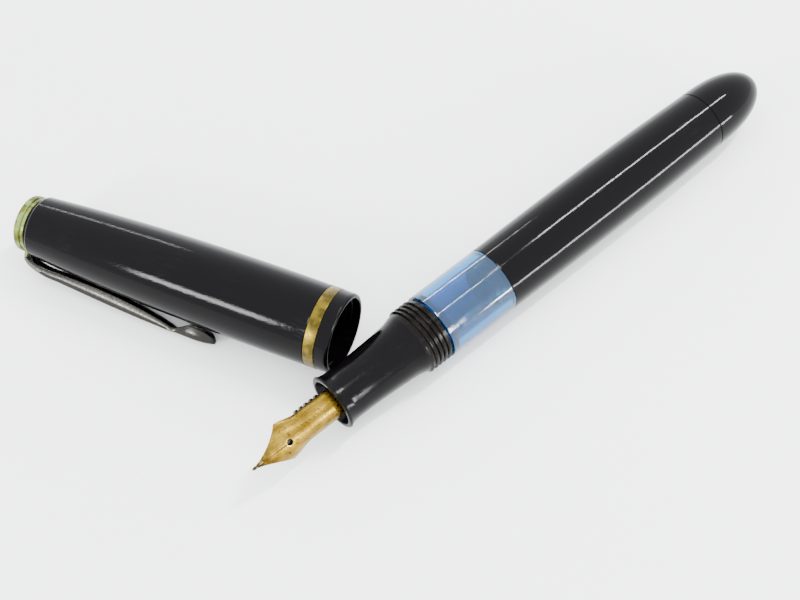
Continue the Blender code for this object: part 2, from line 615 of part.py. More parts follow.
def build_knob(carrier):
    """The turning knob, the spindle that it drives and the spindle's washer."""
    pitch = SPINDLE_LEAD / SPINDLE_STARTS
    root = SPINDLE_RADIUS - SPINDLE_THREAD_DEPTH
    tail_end = TAIL_SOCKET_END - FACE_GAP
    collar_end = SPINDLE_COLLAR_AT + SPINDLE_COLLAR_LENGTH
    thread = stations(SPINDLE_TIP + SMALL_EDGE, SPINDLE_COLLAR_AT - pitch / 3, pitch / 5)
    outline = [(0, tail_end), (SPINDLE_TAIL_RADIUS, tail_end), (SPINDLE_TAIL_RADIUS, collar_end),
               (SPINDLE_COLLAR_RADIUS, collar_end), (SPINDLE_COLLAR_RADIUS, SPINDLE_COLLAR_AT),
               (root, SPINDLE_COLLAR_AT)]
    outline += [(root, z) for z in reversed(thread)]
    outline += [(root - SMALL_EDGE, SPINDLE_TIP), (0, SPINDLE_TIP)]
    spindle = turned("spindle", outline, carrier, BRASS, closed=False, facets=SLIM)
    cut_thread(spindle, thread[0], thread[-1], pitch, SPINDLE_THREAD_DEPTH, SPINDLE_STARTS, root)

    tube("spindle_washer", SPINDLE_COLLAR_RADIUS, SPINDLE_TAIL_RADIUS + GLUE_GAP, WASHER_AT,
         WASHER_AT + WASHER_THICKNESS, carrier, BRASS)

    socket = SPINDLE_TAIL_RADIUS + GLUE_GAP
    front = KNOB_AT + FACE_GAP
    steps = 10
    outer = [KNOB_AT + KNOB_LENGTH * math.sin(math.pi / 2 * i / steps) for i in range(steps, 0, -1)]
    outline = [(knob_radius(z), z) for z in outer]
    outline += [(knob_radius(front + KNOB_EDGE), front + KNOB_EDGE),
                (knob_radius(front) - KNOB_EDGE, front), (socket, front),
                (socket, TAIL_SOCKET_END), (0, TAIL_SOCKET_END)]
    turned("turning_knob", outline, carrier, BLACK_PLASTIC, closed=False)


# ---- the cap ------------------------------------------------------------------------------------
def build_cap_shell(carrier):
    """The cap's shell, its inner thread and the brass band let into it."""
    band_end = BAND_AT + BAND_WIDTH
    floor = cap_radius(BAND_AT) - BAND_DEPTH - GLUE_GAP
    shoulder = SHELL_LENGTH - CAP_SHOULDER
    mouth = CAP_THREAD_MAJOR + GLUE_GAP
    hole = STUD_RADIUS + GLUE_GAP
    thread_end = CAP_THREAD_START + CAP_THREAD_LENGTH
    above = stations(band_end + GLUE_GAP, shoulder, 4.5 * mm)
    below = stations(RIM_EDGE, BAND_AT - GLUE_GAP, 1.0 * mm)
    outline = [(hole, SHELL_LENGTH), (cap_radius(SHELL_LENGTH) - CAP_SHOULDER * 0.6, SHELL_LENGTH)]
    outline += [(cap_radius(z), z) for z in reversed(above)]
    outline += [(floor, band_end + GLUE_GAP), (floor, BAND_AT - GLUE_GAP)]
    outline += [(cap_radius(z), z) for z in reversed(below)]
    outline += [(cap_radius(0) - RIM_EDGE, 0), (mouth, 0),
                (mouth, CAP_THREAD_START - GLUE_GAP)]
    outline += [(CAP_THREAD_MAJOR, z)
                for z in stations(CAP_THREAD_START, thread_end, THREAD_PITCH / 4)]
    outline += [(LIP_ROOM, LINER_START - LINER_STEP - TRAVEL_GAP),
                (CAP_BORE, LINER_START - TRAVEL_GAP), (CAP_BORE, LINER_END + FACE_GAP),
                (hole, LINER_END + FACE_GAP)]
    shell = turned("cap_shell", outline, carrier, BLACK_PLASTIC)
    cut_thread(shell, CAP_THREAD_START, thread_end, THREAD_PITCH, THREAD_DEPTH, 1,
               CAP_THREAD_MAJOR, inward=True)

    tube("cap_band", cap_radius(BAND_AT) + BAND_PROUD, floor + GLUE_GAP, BAND_AT, band_end,
         carrier, BRASS, edge=BAND_EDGE)


def build_cap_top(carrier):
    """The liner that closes round the nib, the brass disc and the stud that holds them."""
    hole = STUD_RADIUS + GLUE_GAP
    stud_start = STUD_END - STUD_LENGTH
    cup_end = LINER_END - LINER_PLUG
    bore = LINER_RADIUS - LINER_WALL
    outline = [(0, stud_start - FACE_GAP), (hole, stud_start - FACE_GAP), (hole, LINER_END),
               (LINER_RADIUS, LINER_END), (LINER_RADIUS, LINER_START), (bore, LINER_START),
               (bore, cup_end), (0, cup_end)]
    turned("cap_liner", outline, carrier, DARK_PLASTIC, closed=False)
    turned("cap_stud", [(0, STUD_END), (STUD_RADIUS, STUD_END), (STUD_RADIUS, stud_start),
                        (0, stud_start)], carrier, BRASS, closed=False, facets=SLIM)

    radius = DISC_DIAMETER / 2
    shoulder = CAP_LENGTH - DISC_CROWN
    outline = [(0, CAP_LENGTH), (radius * DISC_FLAT, CAP_LENGTH), (radius - SMALL_EDGE, shoulder),
               (radius, shoulder - SMALL_EDGE), (radius, DISC_AT), (hole, DISC_AT),
               (hole, STUD_END + FACE_GAP), (0, STUD_END + FACE_GAP)]
    turned("cap_disc", outline, carrier, BRASS, closed=False)


def clip_section(place):
    """One section of the clip, from 0 at its root to 1 at its free end."""
    ball = CLIP_BALL_LENGTH / CLIP_LENGTH
    top = CLIP_RING_AT + CLIP_RING_THICKNESS
    elbow = Vector((cap_radius(top - CLIP_SLOPE) + CLIP_STANDOFF, top - CLIP_SLOPE))
    root = Vector((CLIP_ROOT_RADIUS, top))
    end_z = top - CLIP_LENGTH
    ball_z = end_z + CLIP_BALL_LENGTH / 2
    end = Vector((cap_radius(ball_z) + CLIP_BALL_DEPTH + TRAVEL_GAP, end_z))
    if place < CLIP_BEND:
        turn = place / CLIP_BEND * math.pi / 2
        outer = Vector((root.x + (elbow.x - root.x) * math.sin(turn),
                        elbow.y + (root.y - elbow.y) * math.cos(turn)))
        rise = (elbow.x - root.x) * math.cos(turn)
        inward = Vector((-CLIP_SLOPE * math.sin(turn), -rise)).normalized()
    else:
        s = (place - CLIP_BEND) / (1 - CLIP_BEND)
        outer = elbow.lerp(end, s) + Vector((CLIP_BOW * math.sin(math.pi * s), 0))
        inward = Vector((-1, 0))
    depth = CLIP_SHEET + (CLIP_SIDE - CLIP_SHEET) * math.sin(math.pi * min(place / (1 - ball), 1))
    width = CLIP_WIDTH + (CLIP_END_WIDTH - CLIP_WIDTH) * min(place / (1 - ball), 1)
    from_end = (1 - place) / ball
    if from_end < 1:
        swell = math.sqrt(max(1 - (2 * from_end - 1) ** 2, 0.04))
        blend = min(1.0, (1 - from_end) * 3)
        depth += (CLIP_BALL_DEPTH * swell - depth) * blend
        width += (CLIP_BALL_WIDTH * swell - width) * blend
        outer.x -= (1 - swell) * CLIP_BALL_DEPTH * 0.25 * blend
    half = width / 2
    side = [(half * 0.3, 0), (half * 0.75, 0.08), (half, 0.35), (half, 1)]
    shape = [(-y, d) for y, d in reversed(side)] + side
    return [(outer.x + inward.x * depth * d, y, outer.y + inward.y * depth * d)
            for y, d in shape]


def build_clip(cap, clip_carrier, pivot):
    """The spring clip and the ring that clamps it under the disc."""
    ring = tube("clip_ring", DISC_DIAMETER / 2 - 0.2 * mm, STUD_RADIUS + GLUE_GAP, CLIP_RING_AT,
                CLIP_RING_AT + CLIP_RING_THICKNESS, cap, GILT)
    freeze(ring)
    inner = STUD_RADIUS + 1.0 * mm
    outer = CLIP_ROOT_RADIUS - FACE_GAP
    lug = cutting_box("clip_lug", cap,
                      (outer - inner, CLIP_WIDTH * 0.8, CLIP_RING_THICKNESS * 0.9),
                      ((outer + inner) / 2, 0, CLIP_RING_AT + CLIP_RING_THICKNESS / 2))
    boolean(ring, lug, "UNION")
    sections = [clip_section(i / CLIP_STATIONS) for i in range(CLIP_STATIONS + 1)]
    moved = [[(x - pivot.x, y, z - pivot.z) for x, y, z in section] for section in sections]
    loft("clip", moved, clip_carrier, GILT).data.shade_smooth()


# ---- how the two lie --------------------------------------------------------------------------
def clip_roll():
    """Turn of the clip below the horizontal that brings its lower corner to the table."""
    rolls = []
    for i in range(CLIP_STATIONS + 1):
        for x, y, z in clip_section(i / CLIP_STATIONS):
            reach = math.hypot(x, y)
            if y >= 0 and reach > CAP_AXIS_HEIGHT:
                rolls.append(math.asin(CAP_AXIS_HEIGHT / reach) - math.atan2(y, x))
    return min(rolls)


def swing_pole(mouth, turn, target):
    """The upright axis about which one turn brings the cap's mouth to a place."""
    chord = target - mouth
    normal = Vector((-chord.y, chord.x, 0)).normalized()
    pole = (mouth + target) / 2 + normal * (chord.length / 2 / math.tan(turn / 2))
    return Vector((pole.x, pole.y, 0))


def lying(position, direction, roll=0.0):
    """A frame whose Z runs level in a direction, with X up before the roll."""
    along = Vector((math.cos(direction), math.sin(direction), 0))
    up = Vector((0, 0, 1))
    side = along.cross(up)
    frame = Matrix((up, side, along)).transposed().to_4x4()
    return Matrix.Translation(position) @ frame @ Matrix.Rotation(roll, 4, "Z")


def stand_on_origin(root):
    """Moves the root so that the bottom centre of the whole box is at the origin."""
    bpy.context.view_layer.update()
    graph = bpy.context.evaluated_depsgraph_get()
    low = Vector((1, 1, 1))
    high = -low
    for piece in PEN.objects:
        if piece.type != "MESH":
            continue
        seen = piece.evaluated_get(graph)
        for v in seen.data.vertices:
            at = seen.matrix_world @ v.co
            low = Vector(map(min, low, at))
            high = Vector(map(max, high, at))
    root.location = (-(low.x + high.x) / 2, -(low.y + high.y) / 2, -low.z)


def build():
    """Builds the pen and its cap in the frame that they share."""
    pen_direction = math.radians(90) - CAP_TURN_FROM_PEN
    along = Vector((math.cos(pen_direction), math.sin(pen_direction), 0))
    left = Vector((-along.y, along.x, 0))
    tip = Vector((0, 0, PEN_AXIS_HEIGHT))
    corner = CAP_MOUTH_DIAMETER / 2
    aside = GRIP_DIAMETER / 2 + LAYOUT_GAP + corner * math.sin(CAP_TURN_FROM_PEN - math.pi / 2)
    mouth = tip + along * MOUTH_ALONG_PEN + left * aside
    mouth.z = CAP_AXIS_HEIGHT
    target = tip - along * SWING_CLEAR
    target.z = CAP_AXIS_HEIGHT
    pole = swing_pole(mouth, math.pi - CAP_TURN_FROM_PEN, target)

    root = empty("fountain_pen", None, Matrix())
    pen = empty("pen_axis", root, lying(tip, pen_direction))
    writing_end = empty("nib_axis", pen, Matrix.Rotation(NIB_ROLL, 4, "Z"))
    piston = empty("piston_axis", pen, Matrix())
    knob = empty("knob_axis", pen, Matrix())
    build_nib(writing_end)
    build_section(pen)
    build_ink_window(pen)
    build_barrel(pen)
    build_housing(pen)
    build_piston(piston)
    build_knob(knob)

    swing = empty("cap_pole", root, Matrix.Translation(pole))
    roll = -math.radians(90) - clip_roll()
    cap = empty("cap_axis", swing, lying(mouth - pole, math.radians(90), roll))
    pivot = Vector((CLIP_ROOT_RADIUS, 0, CLIP_RING_AT))
    clip = empty("clip_pivot", cap, Matrix.Translation(pivot))
    build_cap_shell(cap)
    build_cap_top(cap)
    build_clip(cap, clip, pivot)
    stand_on_origin(root)


clear_scene()
PEN = collection("fountain_pen")
CUTTERS = collection("cutters")
BLACK_PLASTIC = finish("black_plastic", (0.012, 0.011, 0.016), 0.12)
DARK_PLASTIC = finish("dark_plastic", (0.03, 0.03, 0.03), 0.45)
BLUE_PLASTIC = finish("blue_plastic", (0.03, 0.27, 0.75), 0.15, transmission=0.8)
EBONITE = finish("ebonite", (0.02, 0.018, 0.016), 0.4)
SEAL_RUBBER = finish("seal_rubber", (0.05, 0.05, 0.055), 0.6)
GOLD_PLATE = finish("gold_plate", (0.72, 0.47, 0.13), 0.25, metallic=1.0)
TIPPING_METAL = finish("tipping_metal", (0.35, 0.33, 0.3), 0.35, metallic=1.0)
GILT = finish("gilt_metal", (0.5, 0.46, 0.36), 0.3, metallic=1.0)
BRASS = finish("brass", (0.38, 0.33, 0.1), 0.4, metallic=1.0)
build()
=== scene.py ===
"""Looks of a piston-filler fountain pen that lies with its screw cap off beside it.

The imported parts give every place. Each class below models and dresses one sub-assembly:
the writing end, the pen's body, the piston, the tail knob, the cap and its clip.
Lengths along the pen run from the nib's tip, and lengths along the cap from its mouth.
"""

import json
import logging
import math
from collections.abc import Callable, Iterable
from dataclasses import dataclass
from enum import Enum

import bpy
from mathutils import Matrix, Vector


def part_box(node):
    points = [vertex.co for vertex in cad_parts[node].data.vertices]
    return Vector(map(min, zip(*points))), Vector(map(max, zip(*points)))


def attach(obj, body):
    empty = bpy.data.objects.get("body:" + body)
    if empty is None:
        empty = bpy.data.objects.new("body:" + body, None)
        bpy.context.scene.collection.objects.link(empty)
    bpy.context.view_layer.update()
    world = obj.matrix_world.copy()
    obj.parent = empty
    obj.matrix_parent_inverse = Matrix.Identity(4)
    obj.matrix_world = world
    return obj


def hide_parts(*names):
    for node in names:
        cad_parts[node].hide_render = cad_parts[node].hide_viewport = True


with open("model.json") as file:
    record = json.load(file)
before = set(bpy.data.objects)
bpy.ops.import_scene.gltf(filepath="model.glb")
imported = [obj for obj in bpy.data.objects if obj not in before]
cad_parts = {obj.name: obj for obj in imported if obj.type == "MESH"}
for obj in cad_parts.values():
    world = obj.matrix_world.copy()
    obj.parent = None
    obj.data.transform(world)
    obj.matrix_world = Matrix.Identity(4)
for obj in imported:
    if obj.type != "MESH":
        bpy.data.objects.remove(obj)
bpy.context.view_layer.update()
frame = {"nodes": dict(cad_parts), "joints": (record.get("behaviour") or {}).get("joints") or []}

logging.basicConfig(level=logging.INFO, format="%(name)s: %(message)s")
log = logging.getLogger("fountain_pen")

mm = 0.001
UP = Vector((0.0, 0.0, 1.0))
Outline = list[tuple[float, float]]
Colour = tuple[float, float, float]


class Body(str, Enum):
    """The bodies that the pieces ride on."""

    PEN = "pen"
    PISTON = "piston"
    KNOB = "knob"
    CAP = "cap"
    CLIP = "clip"


class Smoothing(float, Enum):
    """Angles, in degrees, above which an edge stays sharp."""

    TURNED = 28.0
    SHEET = 35.0
    SOFT = 70.0


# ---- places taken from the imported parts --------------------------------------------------
def joint(name: str) -> dict:
    """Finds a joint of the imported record.

    Args:
        name: The joint's name.

    Returns:
        The joint's entry, with its place and axis.
    """
    return next(entry for entry in frame["joints"] if entry["name"] == name)


def axis_frame(position: Vector, along: Vector, up: Vector) -> Matrix:
    """Makes a frame from a place and two directions.

    Args:
        position: Where the frame stands.
        along: The direction of its Z axis.
        up: The direction that its X axis points to.

    Returns:
        The frame as a matrix.
    """
    z = along.normalized()
    y = z.cross(up).normalized()
    x = y.cross(z)
    return Matrix.Translation(position) @ Matrix((x, y, z)).transposed().to_4x4()


def pen_frame() -> Matrix:
    """The pen's own frame: Z from the nib's tip to the tail, X upwards."""
    turn = joint("knob_turn")
    return axis_frame(Vector(turn["pos_m"]), Vector(turn["axis"]), UP)


def cap_frame() -> Matrix:
    """The cap's own frame: Z from the mouth to the top, X towards the clip."""
    low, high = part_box("cap_shell")
    mouth = Vector(((low.x + high.x) / 2, low.y, (low.z + high.z) / 2))
    along = Vector((0.0, 1.0, 0.0))
    side = -Vector(joint("clip_flex")["axis"])
    return axis_frame(mouth, along, side.cross(along))


# ---- modelling steps ---------------------------------------------------------------------
class Bench:
    """The modelling steps that the pieces share."""

    FACETS = 96

    @staticmethod
    def deselect() -> None:
        """Leaves nothing selected."""
        bpy.ops.object.select_all(action="DESELECT")

    @staticmethod
    def pick(piece: bpy.types.Object) -> None:
        """Selects one piece and makes it active."""
        Bench.deselect()
        piece.select_set(True)
        bpy.context.view_layer.objects.active = piece

    @staticmethod
    def added(name: str) -> bpy.types.Object:
        """Names the shape that was just added."""
        piece = bpy.context.object
        piece.name = name
        piece.data.name = name
        return piece

    @staticmethod
    def chain(name: str, points: Iterable[Vector], closed: bool) -> bpy.types.Object:
        """Draws a wire from point to point by extruding one vertex.

        Args:
            name: The new object's name.
            points: The places that the wire goes through.
            closed: Whether it comes back to its start.

        Returns:
            The wire, still in edit mode and selected all over.
        """
        places = list(points)
        Bench.deselect()
        bpy.ops.mesh.primitive_plane_add(size=mm)
        wire = Bench.added(name)
        bpy.ops.object.mode_set(mode="EDIT")
        bpy.ops.mesh.select_all(action="SELECT")
        bpy.ops.mesh.merge(type="CENTER")
        bpy.ops.transform.translate(value=places[0])
        if closed:
            places.append(places[0])
        for before, after in zip(places, places[1:]):
            bpy.ops.mesh.extrude_region_move(TRANSFORM_OT_translate={"value": after - before})
        bpy.ops.mesh.select_all(action="SELECT")
        bpy.ops.mesh.remove_doubles(threshold=0.0005 * mm)
        return wire

    @staticmethod
    def turned(name: str, outline: Outline, closed: bool = True,
               facets: int = FACETS) -> bpy.types.Object:
        """Turns an outline about the Z axis.

        Args:
            name: The new object's name.
            outline: Points as (radius, height).
            closed: Whether the outline comes back to its start; if not, its ends are on the axis.
            facets: Steps around.

        Returns:
            The turned piece, in object mode.
        """
        piece = Bench.chain(name, [Vector((r, 0.0, z)) for r, z in outline], closed)
        bpy.ops.mesh.spin(steps=facets, angle=math.tau, center=(0, 0, 0), axis=(0, 0, 1))
        Bench.close_up()
        return piece

    @staticmethod
    def close_up() -> None:
        """Welds the mesh being edited, faces it outwards and leaves edit mode."""
        bpy.ops.mesh.select_all(action="SELECT")
        bpy.ops.mesh.remove_doubles(threshold=0.002 * mm)
        bpy.ops.mesh.normals_make_consistent(inside=False)
        bpy.ops.object.mode_set(mode="OBJECT")

    @staticmethod
    def skin(name: str, rows: int, columns: int,
             place: Callable[[float, float], Vector]) -> bpy.types.Object:
        """Lays a grid on a curved surface.

        Args:
            name: The new object's name.
            rows: Faces along the surface.
            columns: Faces across it.
            place: Gives a point from the way along and the way across, each from 0 to 1.

        Returns:
            The sheet, in object mode.
        """
        Bench.deselect()
        bpy.ops.mesh.primitive_grid_add(x_subdivisions=rows, y_subdivisions=columns, size=1.0)
        sheet = Bench.added(name)
        for vertex in sheet.data.vertices:
            vertex.co = place(vertex.co.x + 0.5, vertex.co.y + 0.5)
        return sheet

    @staticmethod
    def screw_ridge(name: str, section: Outline, pitch: float, turns: float,
                    run_out: float) -> bpy.types.Object:
        """Winds the section of a thread round the Z axis and sinks both of its ends.

        Args:
            name: The new object's name.
            section: The ridge's section as (radius, height), its first point on the root.
            pitch: Rise for each turn.
            turns: Turns that the ridge makes.
            run_out: How far the ridge's ends sink.

        Returns:
            The ridge, closed at both ends.
        """
        steps = 72
        ridge = Bench.chain(name, [Vector((r, 0.0, z)) for r, z in section], True)
        bpy.ops.mesh.edge_face_add()
        bpy.ops.mesh.delete(type="ONLY_FACE")
        bpy.ops.object.mode_set(mode="OBJECT")
        winding = ridge.modifiers.new("winding", "SCREW")
        winding.axis = "Z"
        winding.angle = math.tau * turns
        winding.screw_offset = pitch * turns
        winding.steps = winding.render_steps = round(steps * turns)
        Bench.apply(ridge)
        rise = pitch * turns
        low = min(z for _, z in section)
        for vertex in ridge.data.vertices:
            bearing = math.atan2(vertex.co.y, vertex.co.x) % math.tau / math.tau * pitch
            winds = round((vertex.co.z - low - bearing) / pitch - 0.2)
            way = winds * pitch + bearing
            sunk = max(0.0, 1 - min(way, rise - way) / (pitch * 0.3)) * run_out
            vertex.co.x *= 1 - sunk
            vertex.co.y *= 1 - sunk
        Bench.pick(ridge)
        bpy.ops.object.mode_set(mode="EDIT")
        bpy.ops.mesh.select_all(action="DESELECT")
        bpy.ops.mesh.select_non_manifold()
        bpy.ops.mesh.edge_face_add()
        Bench.close_up()
        return ridge

    @staticmethod
    def apply(piece: bpy.types.Object) -> None:
        """Applies every modifier of a piece."""
        Bench.pick(piece)
        for step in list(piece.modifiers):
            bpy.ops.object.modifier_apply(modifier=step.name)

    @staticmethod
    def bevel(piece: bpy.types.Object, width: float, segments: int = 2, angle: float = 40.0) -> None:
        """Rounds the sharp edges of a piece.

        Args:
            piece: The piece.
            width: Width of the rounding.
            segments: Steps across it.
            angle: Edges sharper than this many degrees are rounded.
        """
        step = piece.modifiers.new("edges", "BEVEL")
        step.width = width
        step.segments = segments
        step.limit_method = "ANGLE"
        step.angle_limit = math.radians(angle)
        Bench.apply(piece)

    @staticmethod
    def boolean(piece: bpy.types.Object, other: bpy.types.Object, operation: str) -> None:
        """Cuts a piece with a shape, or joins the two, and removes the shape.

        Args:
            piece: The piece that stays.
            other: The shape that is used up.
            operation: DIFFERENCE, UNION or INTERSECT.
        """
        step = piece.modifiers.new("boolean", "BOOLEAN")
        step.object = other
        step.operation = operation
        step.solver = "EXACT"
        Bench.apply(piece)
        bpy.data.objects.remove(other, do_unlink=True)

    @staticmethod
    def join(piece: bpy.types.Object, others: Iterable[bpy.types.Object]) -> None:
        """Joins other pieces into one piece."""
        Bench.pick(piece)
        for other in others:
            other.select_set(True)
        bpy.ops.object.join()

    @staticmethod
    def settle(piece: bpy.types.Object, place: Matrix, smoothing: Smoothing) -> None:
        """Moves a piece from its own frame to its place and smooths it.

        Args:
            piece: The piece, modelled about the Z axis.
            place: The frame that it belongs to.
            smoothing: Which edges stay sharp.
        """
        piece.matrix_world = place @ piece.matrix_world
        Bench.pick(piece)
        bpy.ops.object.transform_apply(location=True, rotation=True, scale=True)
        bpy.ops.object.shade_smooth_by_angle(angle=math.radians(smoothing.value))


def steps(start: float, end: float, count: int) -> list[float]:
    """Evenly spaced values from start to end, both included."""
    return [start + (end - start) * i / count for i in range(count + 1)]


def arc(centre: tuple[float, float], radius: float, start: float, end: float, count: int) -> Outline:
    """Points of an arc in an outline.

    Args:
        centre: The arc's centre as (radius, height).
        radius: Its radius.
        start: Start angle in degrees, from the outward direction towards +Z.
        end: End angle in degrees.
        count: Steps along the arc.

    Returns:
        The points, both ends included.
    """
    return [(centre[0] + radius * math.cos(math.radians(a)), centre[1] + radius * math.sin(math.radians(a)))
            for a in steps(start, end, count)]


# ---- finishes ----------------------------------------------------------------------------
class Surface:
    """A material's node tree, read in the frame of the piece that wears it."""

    def __init__(self, name: str, place: Matrix) -> None:
        """Starts a material.

        Args:
            name: The material's name.
            place: The frame whose axes its patterns follow.
        """
        self.material = bpy.data.materials.new(name)
        self.material.use_nodes = True
        self.tree = self.material.node_tree
        self.shader = self.tree.nodes["Principled BSDF"]
        coordinates = self.tree.nodes.new("ShaderNodeTexCoord")
        centred = self.tree.nodes.new("ShaderNodeMapping")
        centred.vector_type = "TEXTURE"
        centred.inputs["Location"].default_value = place.to_translation()
        centred.inputs["Rotation"].default_value = place.to_euler()
        self.tree.links.new(coordinates.outputs["Object"], centred.inputs["Vector"])
        self.local = centred.outputs["Vector"]

    def put(self, name: str, value: object) -> None:
        """Sets one input of the shader to a number, a colour or another node's output."""
        target = self.shader.inputs[name]
        if isinstance(value, bpy.types.NodeSocket):
            self.tree.links.new(value, target)
        elif isinstance(value, tuple):
            target.default_value = (*value, 1.0)
        else:
            target.default_value = value

    def feed(self, target: bpy.types.NodeSocket, value: object) -> None:
        """Sets or links one input of a node."""
        if isinstance(value, bpy.types.NodeSocket):
            self.tree.links.new(value, target)
        elif isinstance(value, tuple) and len(value) == 3 and target.type == "RGBA":
            target.default_value = (*value, 1.0)
        else:
            target.default_value = value

    def part(self, axis: str) -> bpy.types.NodeSocket:
        """One coordinate of the piece's own frame, in metres."""
        split = self.tree.nodes.new("ShaderNodeSeparateXYZ")
        self.tree.links.new(self.local, split.inputs[0])
        return split.outputs[axis]

    def noise(self, size: float, detail: float = 4.0, stretch: Colour = (1.0, 1.0, 1.0),
              distortion: float = 0.0, roughness: float = 0.55) -> bpy.types.NodeSocket:
        """A cloudy pattern.

        Args:
            size: Size of its features in metres.
            detail: How fine it goes.
            stretch: Stretching along each of the piece's axes.
            distortion: How much it swirls.
            roughness: Weight of the finer features.

        Returns:
            The pattern, from 0 to 1.
        """
        scaled = self.tree.nodes.new("ShaderNodeMapping")
        scaled.inputs["Scale"].default_value = [1.0 / (size * s) for s in stretch]
        self.tree.links.new(self.local, scaled.inputs["Vector"])
        cloud = self.tree.nodes.new("ShaderNodeTexNoise")
        cloud.inputs["Scale"].default_value = 1.0
        cloud.inputs["Detail"].default_value = detail
        cloud.inputs["Roughness"].default_value = roughness
        cloud.inputs["Distortion"].default_value = distortion
        self.tree.links.new(scaled.outputs["Vector"], cloud.inputs["Vector"])
        return cloud.outputs["Fac"]

    def remap(self, value: bpy.types.NodeSocket, low: float, high: float,
              to_low: float = 0.0, to_high: float = 1.0) -> bpy.types.NodeSocket:
        """Spreads a range of values over another, clamped and eased."""
        node = self.tree.nodes.new("ShaderNodeMapRange")
        node.interpolation_type = "SMOOTHSTEP"
        ends = {"From Min": low, "From Max": high, "To Min": to_low, "To Max": to_high}
        for name, number in ends.items():
            node.inputs[name].default_value = number
        self.tree.links.new(value, node.inputs["Value"])
        return node.outputs["Result"]

    def blend(self, amount: object, first: object, second: object) -> bpy.types.NodeSocket:
        """Mixes two colours."""
        node = self.tree.nodes.new("ShaderNodeMix")
        node.data_type = "RGBA"
        self.feed(node.inputs["Factor"], amount)
        self.feed(node.inputs["A"], first)
        self.feed(node.inputs["B"], second)
        return node.outputs["Result"]

    def sum(self, operation: str, first: object, second: object) -> bpy.types.NodeSocket:
        """Combines two values with ADD, SUBTRACT, MULTIPLY, MAXIMUM and the like."""
        node = self.tree.nodes.new("ShaderNodeMath")
        node.operation = operation
        self.feed(node.inputs[0], first)
        self.feed(node.inputs[1], second)
        return node.outputs[0]

    def bump(self, height: bpy.types.NodeSocket, depth: float,
             before: object = None) -> bpy.types.NodeSocket:
        """Raises the surface by a pattern.

        Args:
            height: The pattern.
            depth: Its depth in metres.
            before: A bump to add to.

        Returns:
            The new normal.
        """
        node = self.tree.nodes.new("ShaderNodeBump")
        node.inputs["Strength"].default_value = 1.0
        node.inputs["Distance"].default_value = depth
        self.tree.links.new(height, node.inputs["Height"])
        if before is not None:
            self.tree.links.new(before, node.inputs["Normal"])
        return node.outputs["Normal"]


@dataclass(frozen=True)
class BlackResin:
    """Polished black resin, slightly violet, with handling wear."""

    colour: Colour = (0.0013, 0.0010, 0.0013)
    haze: Colour = (0.0030, 0.0024, 0.0026)
    gloss: float = 0.07
    roughness: float = 0.06
    worn_roughness: float = 0.26
    wear: float = 0.5
    dents: float = 0.010 * mm
    pitting: float = 0.005 * mm
    grain: float = 0.003 * mm

    def material(self, name: str, place: Matrix) -> bpy.types.Material:
        """Builds the material in the frame of a piece."""
        skin = Surface(name, place)
        cloud = skin.noise(9 * mm, detail=5)
        hair = skin.noise(0.25 * mm, detail=3, stretch=(1, 1, 14))
        worn = skin.remap(skin.sum("MULTIPLY", cloud, hair), 0.44 - 0.22 * self.wear, 0.50)
        skin.put("Base Color", skin.blend(worn, self.colour, self.haze))
        skin.put("Roughness", skin.remap(worn, 0.0, 1.0, self.roughness, self.worn_roughness))
        skin.put("IOR", 1.5)
        skin.put("Specular IOR Level", self.gloss)
        wave = skin.bump(skin.noise(2.2 * mm, detail=2, stretch=(1, 1, 1.6)), self.dents)
        pits = skin.bump(skin.noise(0.55 * mm, detail=3, stretch=(1, 1, 1.8)), self.pitting, wave)
        fine = skin.bump(skin.noise(0.18 * mm, detail=4, stretch=(1, 1, 3)), self.grain, pits)
        skin.put("Normal", fine)
        return skin.material


@dataclass(frozen=True)
class BlueResin:
    """Clear blue resin with fine crazing and a little ink on its inside."""

    colour: Colour = (0.0002, 0.17, 0.42)
    stain: Colour = (0.0001, 0.115, 0.34)
    roughness: float = 0.04

    def material(self, name: str, place: Matrix) -> bpy.types.Material:
        """Builds the material in the frame of a piece."""
        skin = Surface(name, place)
        cloud = skin.remap(skin.noise(6 * mm, detail=4, distortion=0.6), 0.42, 0.72)
        skin.put("Base Color", skin.blend(cloud, self.colour, self.stain))
        skin.put("Roughness", skin.remap(skin.noise(1.2 * mm), 0.35, 0.75, self.roughness, 0.12))
        skin.put("Transmission Weight", 0.94)
        skin.put("IOR", 1.47)
        skin.put("Specular IOR Level", 0.15)
        crazing = skin.noise(0.5 * mm, detail=3, stretch=(1, 1, 5))
        skin.put("Normal", skin.bump(crazing, 0.002 * mm))
        return skin.material


